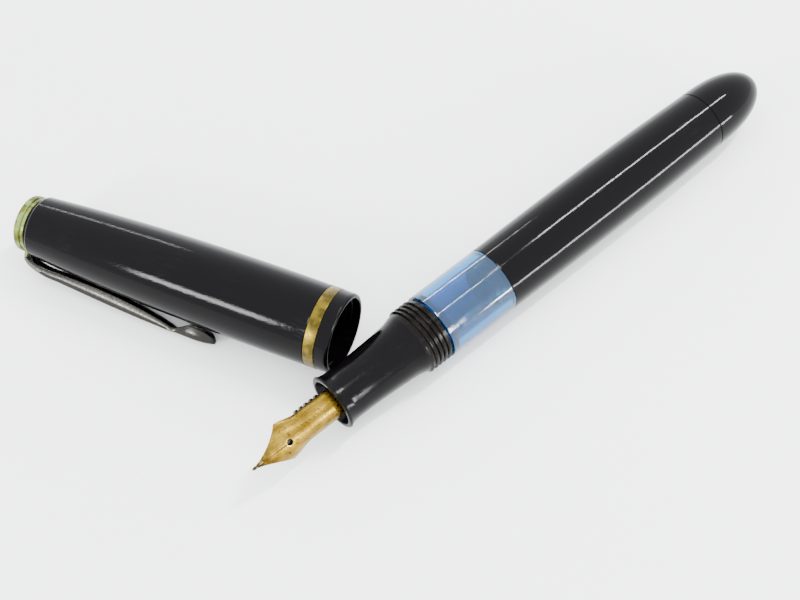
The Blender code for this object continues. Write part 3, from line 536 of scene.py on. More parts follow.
@dataclass(frozen=True)
class WornGold:
    """Gold plate with ink stains, fine scratches and a plain stamped ornament."""

    colour: Colour = (0.105, 0.060, 0.004)
    pale: Colour = (0.30, 0.195, 0.026)
    stain: Colour = (0.020, 0.009, 0.002)
    ornament_from: float = 8.4 * mm
    ornament_to: float = 14.2 * mm
    ornament_half: float = 1.5 * mm
    bar_pitch: float = 0.75 * mm

    def material(self, name: str, place: Matrix) -> bpy.types.Material:
        """Builds the material in the frame of a piece."""
        skin = Surface(name, place)
        along = skin.part("Z")
        across = skin.part("Y")
        cloud = skin.remap(skin.noise(2.4 * mm, detail=5), 0.35, 0.7)
        bands = skin.remap(skin.noise(0.9 * mm, detail=3, stretch=(1, 1, 9)), 0.38, 0.66)
        plate = skin.blend(skin.sum("MULTIPLY", skin.sum("ADD", cloud, bands), 0.5), self.colour, self.pale)
        blots = skin.remap(skin.noise(0.9 * mm, detail=6, distortion=0.5), 0.60, 0.70)
        near_tip = skin.remap(along, 5.0 * mm, 0.6 * mm, 0.0, 0.95)
        ragged = skin.sum("MULTIPLY", near_tip, skin.remap(skin.noise(0.7 * mm, detail=5), 0.3, 0.62))
        stained = skin.sum("MAXIMUM", skin.sum("MULTIPLY", blots, 0.75), ragged)
        skin.put("Base Color", skin.blend(stained, plate, self.stain))
        skin.put("Metallic", 1.0)
        skin.put("Roughness", skin.remap(skin.noise(0.35 * mm, detail=5), 0.3, 0.7, 0.16, 0.42))
        skin.put("Normal", self.relief(skin, along, across))
        return skin.material

    def relief(self, skin: Surface, along: bpy.types.NodeSocket,
               across: bpy.types.NodeSocket) -> bpy.types.NodeSocket:
        """Scratches, pits and the stamped ornament: short bars between two lines."""
        scratches = skin.bump(skin.noise(0.10 * mm, detail=3, stretch=(1, 1, 8)), 0.004 * mm)
        pits = skin.bump(skin.noise(0.45 * mm, detail=4), 0.010 * mm, scratches)
        side = skin.sum("ABSOLUTE", across, 0.0)
        inside = skin.remap(side, self.ornament_half, self.ornament_half * 0.9)
        start = skin.remap(along, self.ornament_from, self.ornament_from + 0.1 * mm)
        end = skin.remap(along, self.ornament_to, self.ornament_to - 0.1 * mm)
        window = skin.sum("MULTIPLY", inside, skin.sum("MULTIPLY", start, end))
        slant = skin.sum("ADD", along, skin.sum("MULTIPLY", side, 0.7))
        wave = skin.sum("SINE", skin.sum("MULTIPLY", slant, math.tau / self.bar_pitch), 0.0)
        bars = skin.remap(wave, -0.2, 0.5)
        return skin.bump(skin.sum("MULTIPLY", bars, window), 0.03 * mm, pits)


@dataclass(frozen=True)
class TarnishedBrass:
    """Brass gone dull, with pale green salts on part of it."""

    bright: Colour = (0.13, 0.092, 0.010)
    dull: Colour = (0.048, 0.036, 0.005)
    salts: Colour = (0.06, 0.07, 0.018)
    salted: float = 0.15

    def material(self, name: str, place: Matrix) -> bpy.types.Material:
        """Builds the material in the frame of a piece."""
        skin = Surface(name, place)
        worn = skin.remap(skin.noise(1.6 * mm, detail=6), 0.38, 0.66)
        brass = skin.blend(worn, self.dull, self.bright)
        crust = skin.remap(skin.noise(2.6 * mm, detail=6, distortion=0.4), 0.72 - 0.5 * self.salted,
                           0.86 - 0.5 * self.salted)
        skin.put("Base Color", skin.blend(crust, brass, self.salts))
        skin.put("Metallic", skin.remap(crust, 0.0, 1.0, 0.92, 0.15))
        rough = skin.remap(skin.noise(0.5 * mm, detail=4), 0.3, 0.7, 0.24, 0.46)
        skin.put("Roughness", skin.sum("MAXIMUM", rough, skin.remap(crust, 0.0, 1.0, 0.0, 0.62)))
        grain = skin.bump(skin.noise(0.12 * mm, detail=4), 0.006 * mm)
        skin.put("Normal", skin.bump(crust, 0.03 * mm, grain))
        return skin.material


@dataclass(frozen=True)
class WornPlating:
    """Gilt steel whose plating is left only in specks along its outer edge."""

    steel: Colour = (0.024, 0.023, 0.021)
    gilt: Colour = (0.20, 0.15, 0.055)
    grime: Colour = (0.006, 0.005, 0.003)
    edge_at: float = 10.0 * mm

    def material(self, name: str, place: Matrix) -> bpy.types.Material:
        """Builds the material in the frame of a piece."""
        skin = Surface(name, place)
        outward = skin.remap(skin.part("X"), self.edge_at - 0.7 * mm, self.edge_at)
        specks = skin.remap(skin.noise(0.55 * mm, detail=6, stretch=(1, 1, 1.8)), 0.46, 0.56)
        gilt = skin.sum("MULTIPLY", outward, specks)
        plated = skin.blend(gilt, self.steel, self.gilt)
        dirt = skin.remap(skin.noise(0.4 * mm, detail=6, distortion=0.5), 0.46, 0.58)
        edge_dirt = skin.sum("MULTIPLY", dirt, skin.remap(outward, 0.0, 1.0, 0.12, 1.0))
        skin.put("Base Color", skin.blend(edge_dirt, plated, self.grime))
        skin.put("Metallic", 1.0)
        rough = skin.remap(skin.noise(0.3 * mm, detail=4), 0.3, 0.7, 0.14, 0.30)
        skin.put("Roughness", skin.sum("ADD", rough, skin.sum("MULTIPLY", edge_dirt, 0.3)))
        brushed = skin.bump(skin.noise(0.08 * mm, detail=3, stretch=(1, 1, 20)), 0.002 * mm)
        skin.put("Normal", skin.bump(skin.noise(0.5 * mm, detail=5), 0.012 * mm, brushed))
        return skin.material


@dataclass(frozen=True)
class Moulded:
    """A plain moulded or turned part: rubber, hard rubber or dull plastic."""

    colour: Colour = (0.0030, 0.0025, 0.0022)
    dusty: Colour = (0.010, 0.008, 0.007)
    roughness: float = 0.38
    metallic: float = 0.0
    gloss: float = 0.2

    def material(self, name: str, place: Matrix) -> bpy.types.Material:
        """Builds the material in the frame of a piece."""
        skin = Surface(name, place)
        dust = skin.remap(skin.noise(1.4 * mm, detail=6), 0.45, 0.75)
        skin.put("Base Color", skin.blend(dust, self.colour, self.dusty))
        skin.put("Metallic", self.metallic)
        skin.put("Specular IOR Level", self.gloss)
        skin.put("Roughness", skin.remap(dust, 0.0, 1.0, self.roughness, self.roughness + 0.22))
        skin.put("Normal", skin.bump(skin.noise(0.15 * mm, detail=4), 0.004 * mm))
        return skin.material


def dress(piece: bpy.types.Object, material: bpy.types.Material, body: Body, slot: str,
          *nodes: str) -> None:
    """Gives a new piece its finish and its body, and hides the CAD nodes that it replaces.

    Args:
        piece: The piece, at its place.
        material: Its material.
        body: The body that it rides on.
        slot: The record's material slot; not used.
        nodes: The CAD nodes that it replaces.
    """
    piece.data.materials.clear()
    piece.data.materials.append(material)
    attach(piece, body.value)
    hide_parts(*nodes)
    log.info("%s: %d faces on %s", piece.name, len(piece.data.polygons), body.value)


def repaint(node: str, material: bpy.types.Material) -> None:
    """Gives a CAD node that stays its finish."""
    for place in frame["nodes"][node].material_slots:
        place.material = material
    log.info("%s: packed part kept", node)


# ---- the writing end ---------------------------------------------------------------------
@dataclass
class WritingEnd:
    """The nib with its tip, the feed under it and the collar behind them."""

    place: Matrix
    length: float = 16.45 * mm
    hidden: float = 9.0 * mm
    radius: float = 2.5 * mm
    sheet: float = 0.28 * mm
    wrap: float = math.radians(84)
    shoulder_at: float = 6.2 * mm
    shoulder_width: float = 6.6 * mm
    tip_width: float = 0.55 * mm
    tip_height: float = 2.3 * mm
    breather_at: float = 6.5 * mm
    breather: float = 1.1 * mm
    slit: float = 0.11 * mm
    feed_start: float = 3.6 * mm
    feed_end: float = 32.45 * mm
    feed_radius: float = 2.1 * mm
    fin_radius: float = 2.75 * mm
    fin_pitch: float = 1.03 * mm
    fins: int = 5
    recess: float = 1.5 * mm
    glue: float = 0.10 * mm
    tipping: float = 0.9 * mm

    def surface(self, z: float, across: float, lift: float) -> Vector:
        """A point on the nib's sheet.

        Args:
            z: Way from the tip.
            across: From -1 at one edge to 1 at the other.
            lift: Distance outside the middle of the sheet.

        Returns:
            The point in the nib's frame.
        """
        along = max(z, 0.0)
        slope = 1 - min(along / self.shoulder_at, 1.0)
        rolled = min(max((along - self.shoulder_at) / (self.length * 0.25), 0.0), 1.0)
        rolled = rolled * rolled * (3 - 2 * rolled)
        if along < self.shoulder_at:
            swell = (along / self.shoulder_at) ** 1.25
            half = self.tip_width / 2 + (self.shoulder_width - self.tip_width) / 2 * swell
        else:
            body = self.radius * math.sin(self.wrap)
            half = self.shoulder_width / 2 + (body - self.shoulder_width / 2) * rolled
        crown = self.radius - (self.radius - self.tip_height) * slope ** 1.35
        flat_radius = self.shoulder_width * 0.56
        radius = flat_radius + (self.radius - flat_radius) * rolled
        angle = across * min(math.asin(min(half / radius, 1.0)), self.wrap)
        reach = radius + lift
        return Vector((crown - radius + reach * math.cos(angle), reach * math.sin(angle), z))

    def half_angle(self, z: float) -> float:
        """Half of the sheet's width at a place, as an arc length."""
        edge = self.surface(z, 1.0, 0.0)
        return max(math.hypot(edge.y, self.surface(z, 0.0, 0.0).x - edge.x), 0.1 * mm)

    def build_nib(self) -> bpy.types.Object:
        """The nib: a curved sheet, slit from its breather hole to its tip."""
        columns = 25
        middle = columns // 2
        end = self.length + self.hidden
        places = steps(0.0, self.shoulder_at, 16) + steps(self.shoulder_at, end, 40)[1:]
        rows = len(places) - 1

        def on_sheet(way: float, side: float) -> Vector:
            z = places[round(way * rows)]
            column = round(side * columns)
            parted = 0.2 + 0.8 * min(max(z, 0.0) / self.breather_at, 1.0)
            slit = min(self.slit / 2 * parted / self.half_angle(z), 0.3)
            if column <= middle:
                across = -1 + (1 - slit) * column / middle
            else:
                across = slit + (1 - slit) * (column - middle - 1) / middle
            return self.surface(z, across, 0.0)

        nib = Bench.skin("pen_nib", rows, columns, on_sheet)
        slit_faces = [face.index for face in nib.data.polygons
                      if abs(face.center.y) < self.slit * 0.4 and face.center.z < self.breather_at]
        bpy.ops.object.mode_set(mode="EDIT")
        bpy.ops.mesh.select_mode(type="FACE")
        bpy.ops.mesh.select_all(action="DESELECT")
        bpy.ops.object.mode_set(mode="OBJECT")
        for index in slit_faces:
            nib.data.polygons[index].select = True
        bpy.ops.object.mode_set(mode="EDIT")
        bpy.ops.mesh.delete(type="FACE")
        bpy.ops.mesh.select_mode(type="VERT")
        bpy.ops.object.mode_set(mode="OBJECT")
        wall = nib.modifiers.new("sheet", "SOLIDIFY")
        wall.thickness = self.sheet
        wall.offset = 0.0
        Bench.apply(nib)
        bpy.ops.mesh.primitive_cylinder_add(vertices=40, radius=self.breather / 2, depth=2 * self.radius,
                                            location=(self.radius, 0, self.breather_at),
                                            rotation=(0, math.radians(90), 0))
        Bench.boolean(nib, Bench.added("breather"), "DIFFERENCE")
        Bench.bevel(nib, 0.02 * mm, 2, 50)
        Bench.settle(nib, self.place, Smoothing.SHEET)
        return nib

    def build_tip(self) -> bpy.types.Object:
        """The hard tip: a small rounded pellet, slit like the nib."""
        Bench.deselect()
        bpy.ops.mesh.primitive_uv_sphere_add(segments=32, ring_count=20, radius=0.5)
        tip = Bench.added("nib_tip")
        tip.scale = (self.tip_width, self.tip_width, self.tipping + 0.2 * mm)
        tip.location = (self.tip_height, 0, 0.05 * mm - self.tipping / 2)
        bpy.ops.object.transform_apply(location=True, rotation=True, scale=True)
        bpy.ops.mesh.primitive_cube_add(size=1, scale=(2 * mm, self.slit * 0.6, 3 * mm))
        Bench.boolean(tip, Bench.added("tip_slit"), "DIFFERENCE")
        Bench.settle(tip, self.place, Smoothing.SOFT)
        return tip

    def build_feed(self) -> bpy.types.Object:
        """The feed: a round bar with a comb of fins, cut away where the nib lies on it."""
        comb = self.length - self.recess / 2 - self.fins * self.fin_pitch
        outline = [(0, self.feed_end), (self.feed_radius, self.feed_end)]
        for i in reversed(range(self.fins)):
            z = comb + i * self.fin_pitch
            top = z + self.fin_pitch * 0.52
            edge = 0.07 * mm
            outline += [(self.feed_radius, top), (self.fin_radius - edge, top),
                        (self.fin_radius, top - edge), (self.fin_radius, z + edge),
                        (self.fin_radius - edge, z), (self.feed_radius, z)]
        outline += [(self.tapered(z, comb), z) for z in steps(comb, self.feed_start, 12)[1:]]
        outline.append((0, self.feed_start))
        feed = Bench.turned("ink_feed", outline, closed=False, facets=72)
        for vertex in feed.data.vertices:
            vertex.co.x += self.feed_radius - self.tapered(vertex.co.z, comb)
        below = self.sheet / 2 + self.glue * 0.3
        room = Bench.skin("nib_room", 44, 16, lambda way, side: self.surface(
            -1.5 * mm + (self.feed_end + 3 * mm) * way, 1.08 * (2 * side - 1), -below))
        wall = room.modifiers.new("room", "SOLIDIFY")
        wall.thickness = 3.5 * mm
        wall.offset = 1.0 if self.faces_out(room) else -1.0
        Bench.apply(room)
        Bench.boolean(feed, room, "DIFFERENCE")
        Bench.settle(feed, self.place, Smoothing.TURNED)
        return feed

    def tapered(self, z: float, comb: float) -> float:
        """Radius of the feed's thin end at a place in front of its comb."""
        t = min(max((z - self.feed_start) / (comb - self.feed_start), 0.0), 1.0)
        return self.feed_radius * (0.35 + 0.65 * t ** 0.6)

    @staticmethod
    def faces_out(sheet: bpy.types.Object) -> bool:
        """Whether the faces of a curved sheet point away from its axis."""
        face = sheet.data.polygons[len(sheet.data.polygons) // 2]
        return face.normal.dot(Vector((face.center.x, face.center.y, 0))) > 0

    def build(self) -> None:
        """Builds and dresses the writing end."""
        dress(self.build_nib(), WornGold().material("worn_gold", self.place), Body.PEN, "gold_plate", "nib")
        alloy = Moulded((0.035, 0.030, 0.012), (0.07, 0.055, 0.025), 0.3, 1.0)
        tip = alloy.material("tip_alloy", self.place)
        dress(self.build_tip(), tip, Body.PEN, "tipping_metal", "nib_tipping")
        ebonite = Moulded().material("feed_ebonite", self.place)
        dress(self.build_feed(), ebonite, Body.PEN, "ebonite", "feed")
        repaint("nib_collar", ebonite)


# ---- the pen's body ----------------------------------------------------------------------
@dataclass
class PenBody:
    """Section, ink window and barrel, with the fixed parts of the filler inside."""

    place: Matrix
    lip_at: float = 16.45 * mm
    grip_length: float = 16.6 * mm
    thread_length: float = 5.1 * mm
    window_length: float = 13.9 * mm
    barrel_length: float = 51.2 * mm
    lip_radius: float = 5.1 * mm
    lip_length: float = 2.4 * mm
    lip_wall: float = 0.9 * mm
    lip_recess: float = 1.5 * mm
    grip_radius: float = 4.6 * mm
    grip_rear: float = 5.25 * mm
    thread_root: float = 5.58 * mm
    thread_depth: float = 0.42 * mm
    pitch: float = 0.92 * mm
    turns: float = 4.85
    section_bore: float = 3.69 * mm
    tenon_at: float = 33.65 * mm
    tenon_radius: float = 4.58 * mm
    window_radius: float = 6.05 * mm
    ink_radius: float = 4.6 * mm
    tube_radius: float = 5.2 * mm
    tube_tail: float = 30.0 * mm
    shoulder: float = 1.2 * mm
    widest: float = 6.2 * mm
    rear_radius: float = 5.7 * mm
    wall: float = 0.75 * mm
    gap: float = 0.10 * mm

    def __post_init__(self) -> None:
        """Works out the places along the pen."""
        self.thread_at = self.lip_at + self.grip_length
        self.window_at = self.thread_at + self.thread_length
        self.barrel_at = self.window_at + self.window_length
        self.knob_at = self.barrel_at + self.barrel_length

    def grip(self, z: float) -> float:
        """Radius of the section between its lip and its thread."""
        along = max(0.0, ((z - self.lip_at) / self.grip_length - 0.3) / 0.7)
        lip = max(0.0, 1 - (z - self.lip_at) / self.lip_length) ** 2
        flare = max(0.0, 1 - (self.thread_at - z) / self.lip_length) ** 2
        radius = self.grip_radius + (self.grip_rear - self.grip_radius) * along ** 1.5
        radius += (self.lip_radius - self.grip_radius) * lip
        return radius + (self.thread_root - self.grip_rear) * flare

    def barrel_radius(self, z: float) -> float:
        """Radius of the barrel, widest near its middle."""
        widest_at = self.barrel_at + self.barrel_length * 0.48
        if z < widest_at:
            t = (widest_at - z) / (widest_at - self.barrel_at)
            return self.widest - (self.widest - self.window_radius) * t ** 2
        t = (z - widest_at) / (self.knob_at - widest_at)
        return self.widest - (self.widest - self.rear_radius) * t ** 2

    def build_section(self) -> bpy.types.Object:
        """The section: a waisted grip with a flared lip and the cap's thread."""
        end = self.window_at - self.gap
        rim = 0.42 * mm
        outline = [(self.thread_root - 0.1 * mm, end), (self.thread_root, end - 0.1 * mm)]
        outline += [(self.grip(z), z) for z in steps(self.thread_at, self.lip_at + rim, 30)]
        outline += arc((self.lip_radius - rim, self.lip_at + rim), rim, 0, -90, 6)[1:]
        mouth = self.lip_radius - self.lip_wall
        outline += arc((mouth + 0.15 * mm, self.lip_at + 0.15 * mm), 0.15 * mm, -90, -180, 3)
        outline += [(self.section_bore + 0.1 * mm, self.lip_at + self.lip_recess - 0.2 * mm),
                    (self.section_bore, self.lip_at + self.lip_recess),
                    (self.section_bore, self.tenon_at - self.gap),
                    (self.tenon_radius + self.gap, self.tenon_at - self.gap),
                    (self.tenon_radius + self.gap, end)]
        section = Bench.turned("grip_section", outline)
        root = self.thread_root
        crest = root + self.thread_depth
        low = self.thread_at + 0.02 * mm
        ridge = [(root - 0.08 * mm, low), (crest - 0.07 * mm, low + 0.15 * mm),
                 (crest, low + 0.21 * mm),
                 (crest, low + 0.33 * mm), (crest - 0.07 * mm, low + 0.39 * mm),
                 (root - 0.08 * mm, low + 0.54 * mm)]
        thread = Bench.screw_ridge("cap_thread", ridge, self.pitch, self.turns,
                                   self.thread_depth / crest * 1.3)
        Bench.join(section, [thread])
        Bench.settle(section, self.place, Smoothing.TURNED)
        return section

    def build_window(self) -> bpy.types.Object:
        """The clear tube: tenon, window and the ink tube inside the barrel."""
        edge = 0.08 * mm
        radius = self.window_radius
        tenon_bore = self.tenon_radius - 1.4 * mm
        outline = [(self.tube_radius, self.barrel_at + self.tube_tail), (self.tube_radius, self.barrel_at),
                   (radius - edge, self.barrel_at), (radius, self.barrel_at - edge),
                   (radius, self.window_at + edge), (radius - edge, self.window_at),
                   (self.tenon_radius, self.window_at), (self.tenon_radius, self.tenon_at),
                   (tenon_bore, self.tenon_at), (tenon_bore, self.window_at + self.shoulder - 0.3 * mm)]
        outline += [(self.ink_radius - 0.3 * mm, self.window_at + self.shoulder - 0.05 * mm),
                    (self.ink_radius, self.window_at + self.shoulder + 0.3 * mm),
                    (self.ink_radius, self.barrel_at + self.tube_tail)]
        window = Bench.turned("clear_window", outline, facets=128)
        Bench.settle(window, self.place, Smoothing.TURNED)
        return window

    def build_barrel(self) -> bpy.types.Object:
        """The black barrel, with a small chamfer at each end."""
        start = self.barrel_at + self.gap * 0.6
        edge = 0.07 * mm
        step = self.barrel_at + self.tube_tail + 0.3 * mm
        front_bore = self.window_radius - self.wall
        rear_bore = self.rear_radius - self.wall
        outline = [(self.barrel_radius(self.knob_at) - edge, self.knob_at)]
        outline += [(self.barrel_radius(z), z) for z in steps(self.knob_at - edge, start + edge, 40)]
        outline += [(self.window_radius - edge, start), (front_bore, start), (front_bore, step),
                    (rear_bore, step), (rear_bore, self.knob_at)]
        barrel = Bench.turned("pen_barrel", outline, facets=128)
        Bench.settle(barrel, self.place, Smoothing.TURNED)
        return barrel

    def build(self) -> None:
        """Builds and dresses the body."""
        resin = BlackResin().material("pen_resin", self.place)
        scratched = BlackResin(wear=1.0, dents=0.008 * mm, pitting=0.012 * mm, grain=0.016 * mm)
        handled = scratched.material("section_resin", self.place)
        dress(self.build_section(), handled, Body.PEN, "black_plastic", "section")
        self.dull_the_thread()
        dress(self.build_window(), BlueResin().material("window_resin", self.place), Body.PEN,
              "blue_plastic", "ink_window")
        dress(self.build_barrel(), resin, Body.PEN, "black_plastic", "barrel")
        sleeve = Moulded((0.004, 0.004, 0.005), (0.01, 0.01, 0.011))
        repaint("piston_housing", sleeve.material("sleeve_plastic", self.place))
        repaint("retaining_ring", TarnishedBrass().material("ring_brass", self.place))

    def dull_the_thread(self) -> None:
        """Gives the thread a browner, duller finish than the grip."""
        section = bpy.data.objects["grip_section"]
        finish = Moulded((0.0022, 0.0017, 0.0014), (0.007, 0.0050, 0.0038), 0.2, gloss=0.07)
        section.data.materials.append(finish.material("thread_resin", self.place))
        inverse = self.place.inverted()
        for face in section.data.polygons:
            if (inverse @ face.center).z > self.thread_at + 0.1 * mm:
                face.material_index = 1


# ---- piston and knob ---------------------------------------------------------------------
@dataclass
class Piston:
    """The piston's head with its seal, and the rod behind it."""

    place: Matrix
    start: float = 49.25 * mm
    length: float = 6.0 * mm
    flange: float = 1.0 * mm
    plug: float = 1.5 * mm
    seal_radius: float = 4.48 * mm
    neck: float = 2.6 * mm
    back_radius: float = 3.8 * mm
    plug_radius: float = 2.28 * mm
    gap: float = 0.10 * mm

    def build_head(self) -> bpy.types.Object:
        """The head: a domed flange, a neck for the seal and a plug for the rod."""
        end = self.start + self.length
        front = self.start + self.flange
        rear = end - self.flange
        rim = self.seal_radius - 0.24 * mm
        outline = [(0, end + self.plug), (self.plug_radius, end + self.plug), (self.plug_radius, end),
                   (self.back_radius, end), (self.back_radius, rear), (self.neck, rear), (self.neck, front),
                   (rim, front)]
        outline += arc((rim - 0.3 * mm, self.start + 0.3 * mm), 0.3 * mm, 0, -90, 5)
        outline += [(0, self.start)]
        head = Bench.turned("piston_face", outline, closed=False)
        Bench.settle(head, self.place, Smoothing.TURNED)
        return head

    def build_seal(self) -> bpy.types.Object:
        """The seal: a ring with two soft lips and a waist."""
        front = self.start + self.flange + self.gap
        rear = self.start + self.length - self.flange - self.gap
        depth = 0.4 * mm
        lip = 0.7 * mm
        waist = [(self.seal_radius - depth * math.sin(math.pi * t),
                  rear - lip - (rear - front - 2 * lip) * t) for t in steps(0.0, 1.0, 10)]
        outline = [(self.seal_radius - 0.1 * mm, rear), (self.seal_radius, rear - 0.1 * mm)] + waist
        outline += [(self.seal_radius, front + 0.1 * mm), (self.seal_radius - 0.1 * mm, front),
                    (self.neck + self.gap, front), (self.neck + self.gap, rear)]
        seal = Bench.turned("piston_lips", outline)
        Bench.settle(seal, self.place, Smoothing.TURNED)
        return seal

    def build(self) -> None:
        """Builds and dresses the piston."""
        plastic = Moulded((0.006, 0.006, 0.007), (0.014, 0.014, 0.016), 0.3)
        plastic = plastic.material("piston_plastic", self.place)
        rubber = Moulded((0.008, 0.008, 0.010), (0.018, 0.018, 0.020), 0.5)
        rubber = rubber.material("seal_rubber", self.place)
        dress(self.build_head(), plastic, Body.PISTON, "dark_plastic", "piston_head")
        dress(self.build_seal(), rubber, Body.PISTON, "seal_rubber", "piston_seal")
        repaint("piston_rod", plastic)


@dataclass
class TailKnob:
    """The turning knob that closes the tail, with the spindle that it drives."""

    place: Matrix
    start: float = 103.25 * mm
    length: float = 14.0 * mm
    radius: float = 5.7 * mm
    socket: float = 2.1 * mm
    socket_depth: float = 7.5 * mm
    gap: float = 0.10 * mm

    def profile(self, t: float) -> float:
        """Radius of the blunt bullet at a fraction of its length."""
        return self.radius * max(1 - t ** 2.6, 0.0) ** 0.5

    def build_knob(self) -> bpy.types.Object:
        """The knob, rounded to its end and chamfered where it meets the barrel."""
        front = self.start + self.gap
        edge = 0.1 * mm
        ways = [math.sin(math.pi / 2 * t) for t in steps(1.0, 0.02, 44)]
        outline = [(self.profile(t), self.start + self.length * t) for t in ways]
        outline += [(self.profile(edge / self.length), front + edge), (self.radius - edge, front),
                    (self.socket, front), (self.socket, self.start + self.socket_depth),
                    (0, self.start + self.socket_depth)]
        knob = Bench.turned("tail_knob", outline, closed=False, facets=128)
        Bench.settle(knob, self.place, Smoothing.TURNED)
        return knob

    def build(self) -> None:
        """Builds and dresses the knob."""
        dress(self.build_knob(), BlackResin(wear=0.6).material("knob_resin", self.place), Body.KNOB,
              "black_plastic", "turning_knob")
        brass = TarnishedBrass(salted=0.0).material("spindle_brass", self.place)
        repaint("spindle", brass)
        repaint("spindle_washer", brass)


# ---- the cap -----------------------------------------------------------------------------
@dataclass
class Cap:
    """The cap's shell with its brass band, top disc, inner liner and clip ring."""

    place: Matrix
    length: float = 62.6 * mm
    shell_length: float = 60.3 * mm
    radius: float = 7.2 * mm
    top_radius: float = 5.5 * mm
    mouth_radius: float = 7.05 * mm
    widest_at: float = 14.0 * mm
    top_edge: float = 0.9 * mm
    bore_top: float = 4.7 * mm
    lip_room: float = 5.25 * mm
    thread_major: float = 6.18 * mm
    thread_depth: float = 0.42 * mm
    pitch: float = 0.92 * mm
    turns: float = 5.0
    thread_from: float = 1.6 * mm
    thread_to: float = 7.2 * mm
    band_at: float = 2.4 * mm
    band_width: float = 2.0 * mm
    band_depth: float = 0.35 * mm
    liner_from: float = 23.0 * mm
    liner_to: float = 58.3 * mm
    liner_wall: float = 0.9 * mm
    liner_plug: float = 6.0 * mm
    stud_radius: float = 1.5 * mm
    stud_from: float = 53.925 * mm
    disc_radius: float = 5.1 * mm
    disc_thickness: float = 1.5 * mm
    ring_thickness: float = 0.6 * mm
    gap: float = 0.10 * mm

    def shell_radius(self, z: float) -> float:
        """Outer radius of the shell."""
        if z < self.widest_at:
            t = (self.widest_at - z) / self.widest_at
            return self.radius - (self.radius - self.mouth_radius) * t ** 2
        t = (z - self.widest_at) / (self.shell_length - self.widest_at)
        return self.radius - (self.radius - self.top_radius) * t ** 2.2

    def build_shell(self) -> bpy.types.Object:
        """The shell: its rim, the groove for the band and the inner thread."""
        end = self.shell_length
        band_end = self.band_at + self.band_width
        floor = self.shell_radius(self.band_at) - self.band_depth - self.gap
        shoulder = end - self.top_edge
        rim = 0.45 * mm
        edge = 0.05 * mm
        outline = [(self.stud_radius, end), (self.shell_radius(end) - self.top_edge * 0.6, end)]
        outline += [(self.shell_radius(z), z) for z in steps(shoulder, band_end + self.gap / 2 + edge, 44)]
        outline += [(self.shell_radius(band_end) - edge, band_end + self.gap / 2),
                    (floor, band_end + self.gap / 2),
                    (floor, self.band_at - self.gap / 2),
                    (self.shell_radius(self.band_at) - edge, self.band_at - self.gap / 2)]
        outline += [(self.shell_radius(z), z) for z in steps(self.band_at - self.gap / 2 - edge, rim, 6)]
        outline += arc((self.shell_radius(0) - rim, rim), rim, 0, -90, 6)[1:]
        inner = self.thread_major + self.gap
        outline += [(inner + 0.12 * mm, 0.0), (inner, 0.12 * mm), (inner, self.thread_from - self.gap),
                    (self.thread_major, self.thread_from), (self.thread_major, self.thread_to),
                    (self.lip_room, self.liner_from - 0.8 * mm),
                    (self.bore_top, self.liner_from - 0.3 * mm), (self.bore_top, self.liner_to + self.gap),
                    (self.stud_radius, self.liner_to + self.gap)]
        shell = Bench.turned("cap_body", outline, facets=144)
        root = self.thread_major
        crest = root - self.thread_depth
        low = self.thread_from + 0.1 * mm
        ridge = [(root + 0.08 * mm, low), (crest + 0.07 * mm, low + 0.15 * mm), (crest, low + 0.2 * mm),
                 (crest, low + 0.3 * mm), (crest + 0.07 * mm, low + 0.35 * mm),
                 (root + 0.08 * mm, low + 0.5 * mm)]
        thread = Bench.screw_ridge("inner_thread", ridge, self.pitch, self.turns,
                                   -self.thread_depth / crest * 1.3)
        Bench.join(shell, [thread])
        Bench.settle(shell, self.place, Smoothing.TURNED)
        return shell

    def build_band(self) -> bpy.types.Object:
        """The brass band, very slightly crowned."""
        low, high = self.band_at, self.band_at + self.band_width
        outside = self.shell_radius(self.band_at) + 0.035 * mm
        inside = self.shell_radius(self.band_at) - self.band_depth
        edge = 0.12 * mm
        outline = arc((outside - edge, high - edge), edge, 90, 0, 4)
        outline += [(outside + 0.015 * mm, (low + high) / 2)]
        outline += arc((outside - edge, low + edge), edge, 0, -90, 4) + [(inside, low), (inside, high)]
        band = Bench.turned("brass_band", outline, facets=144)
        Bench.settle(band, self.place, Smoothing.SHEET)
        return band

    def build_disc(self) -> bpy.types.Object:
        """The top disc: a flat middle inside a turned line, and a rounded rim."""
        start = self.length - self.disc_thickness
        drop = 0.25 * mm
        rim = 0.5 * mm
        line = self.disc_radius * 0.72
        outline = [(0, self.length), (line - 0.15 * mm, self.length), (line, self.length - 0.15 * mm),
                   (line + 0.15 * mm, self.length - 0.03 * mm)]
        outline += arc((self.disc_radius - rim, self.length - drop - rim), rim, 80, 0, 7)
        outline += [(self.disc_radius, start + 0.15 * mm), (self.disc_radius - 0.12 * mm, start),
                    (self.stud_radius, start), (self.stud_radius, self.length - 0.6 * mm),
                    (0, self.length - 0.6 * mm)]
        disc = Bench.turned("top_disc", outline, closed=False)
        Bench.settle(disc, self.place, Smoothing.SHEET)
        return disc

    def build_liner(self) -> bpy.types.Object:
        """The liner: a smooth cup that closes round the nib."""
        outside = self.bore_top - self.gap
        bore = outside - self.liner_wall
        cup = self.liner_to - self.liner_plug
        outline = [(0, self.stud_from - self.gap), (self.stud_radius, self.stud_from - self.gap),
                   (self.stud_radius, self.liner_to), (outside, self.liner_to), (outside, self.liner_from),
                   (bore + 0.2 * mm, self.liner_from), (bore, self.liner_from + 0.3 * mm),
                   (bore, cup - 1 * mm)]
        outline += arc((bore - 1 * mm, cup - 1 * mm), 1 * mm, 0, 90, 5)[1:] + [(0, cup)]
        liner = Bench.turned("cap_cup", outline, closed=False)
        Bench.settle(liner, self.place, Smoothing.TURNED)
        return liner

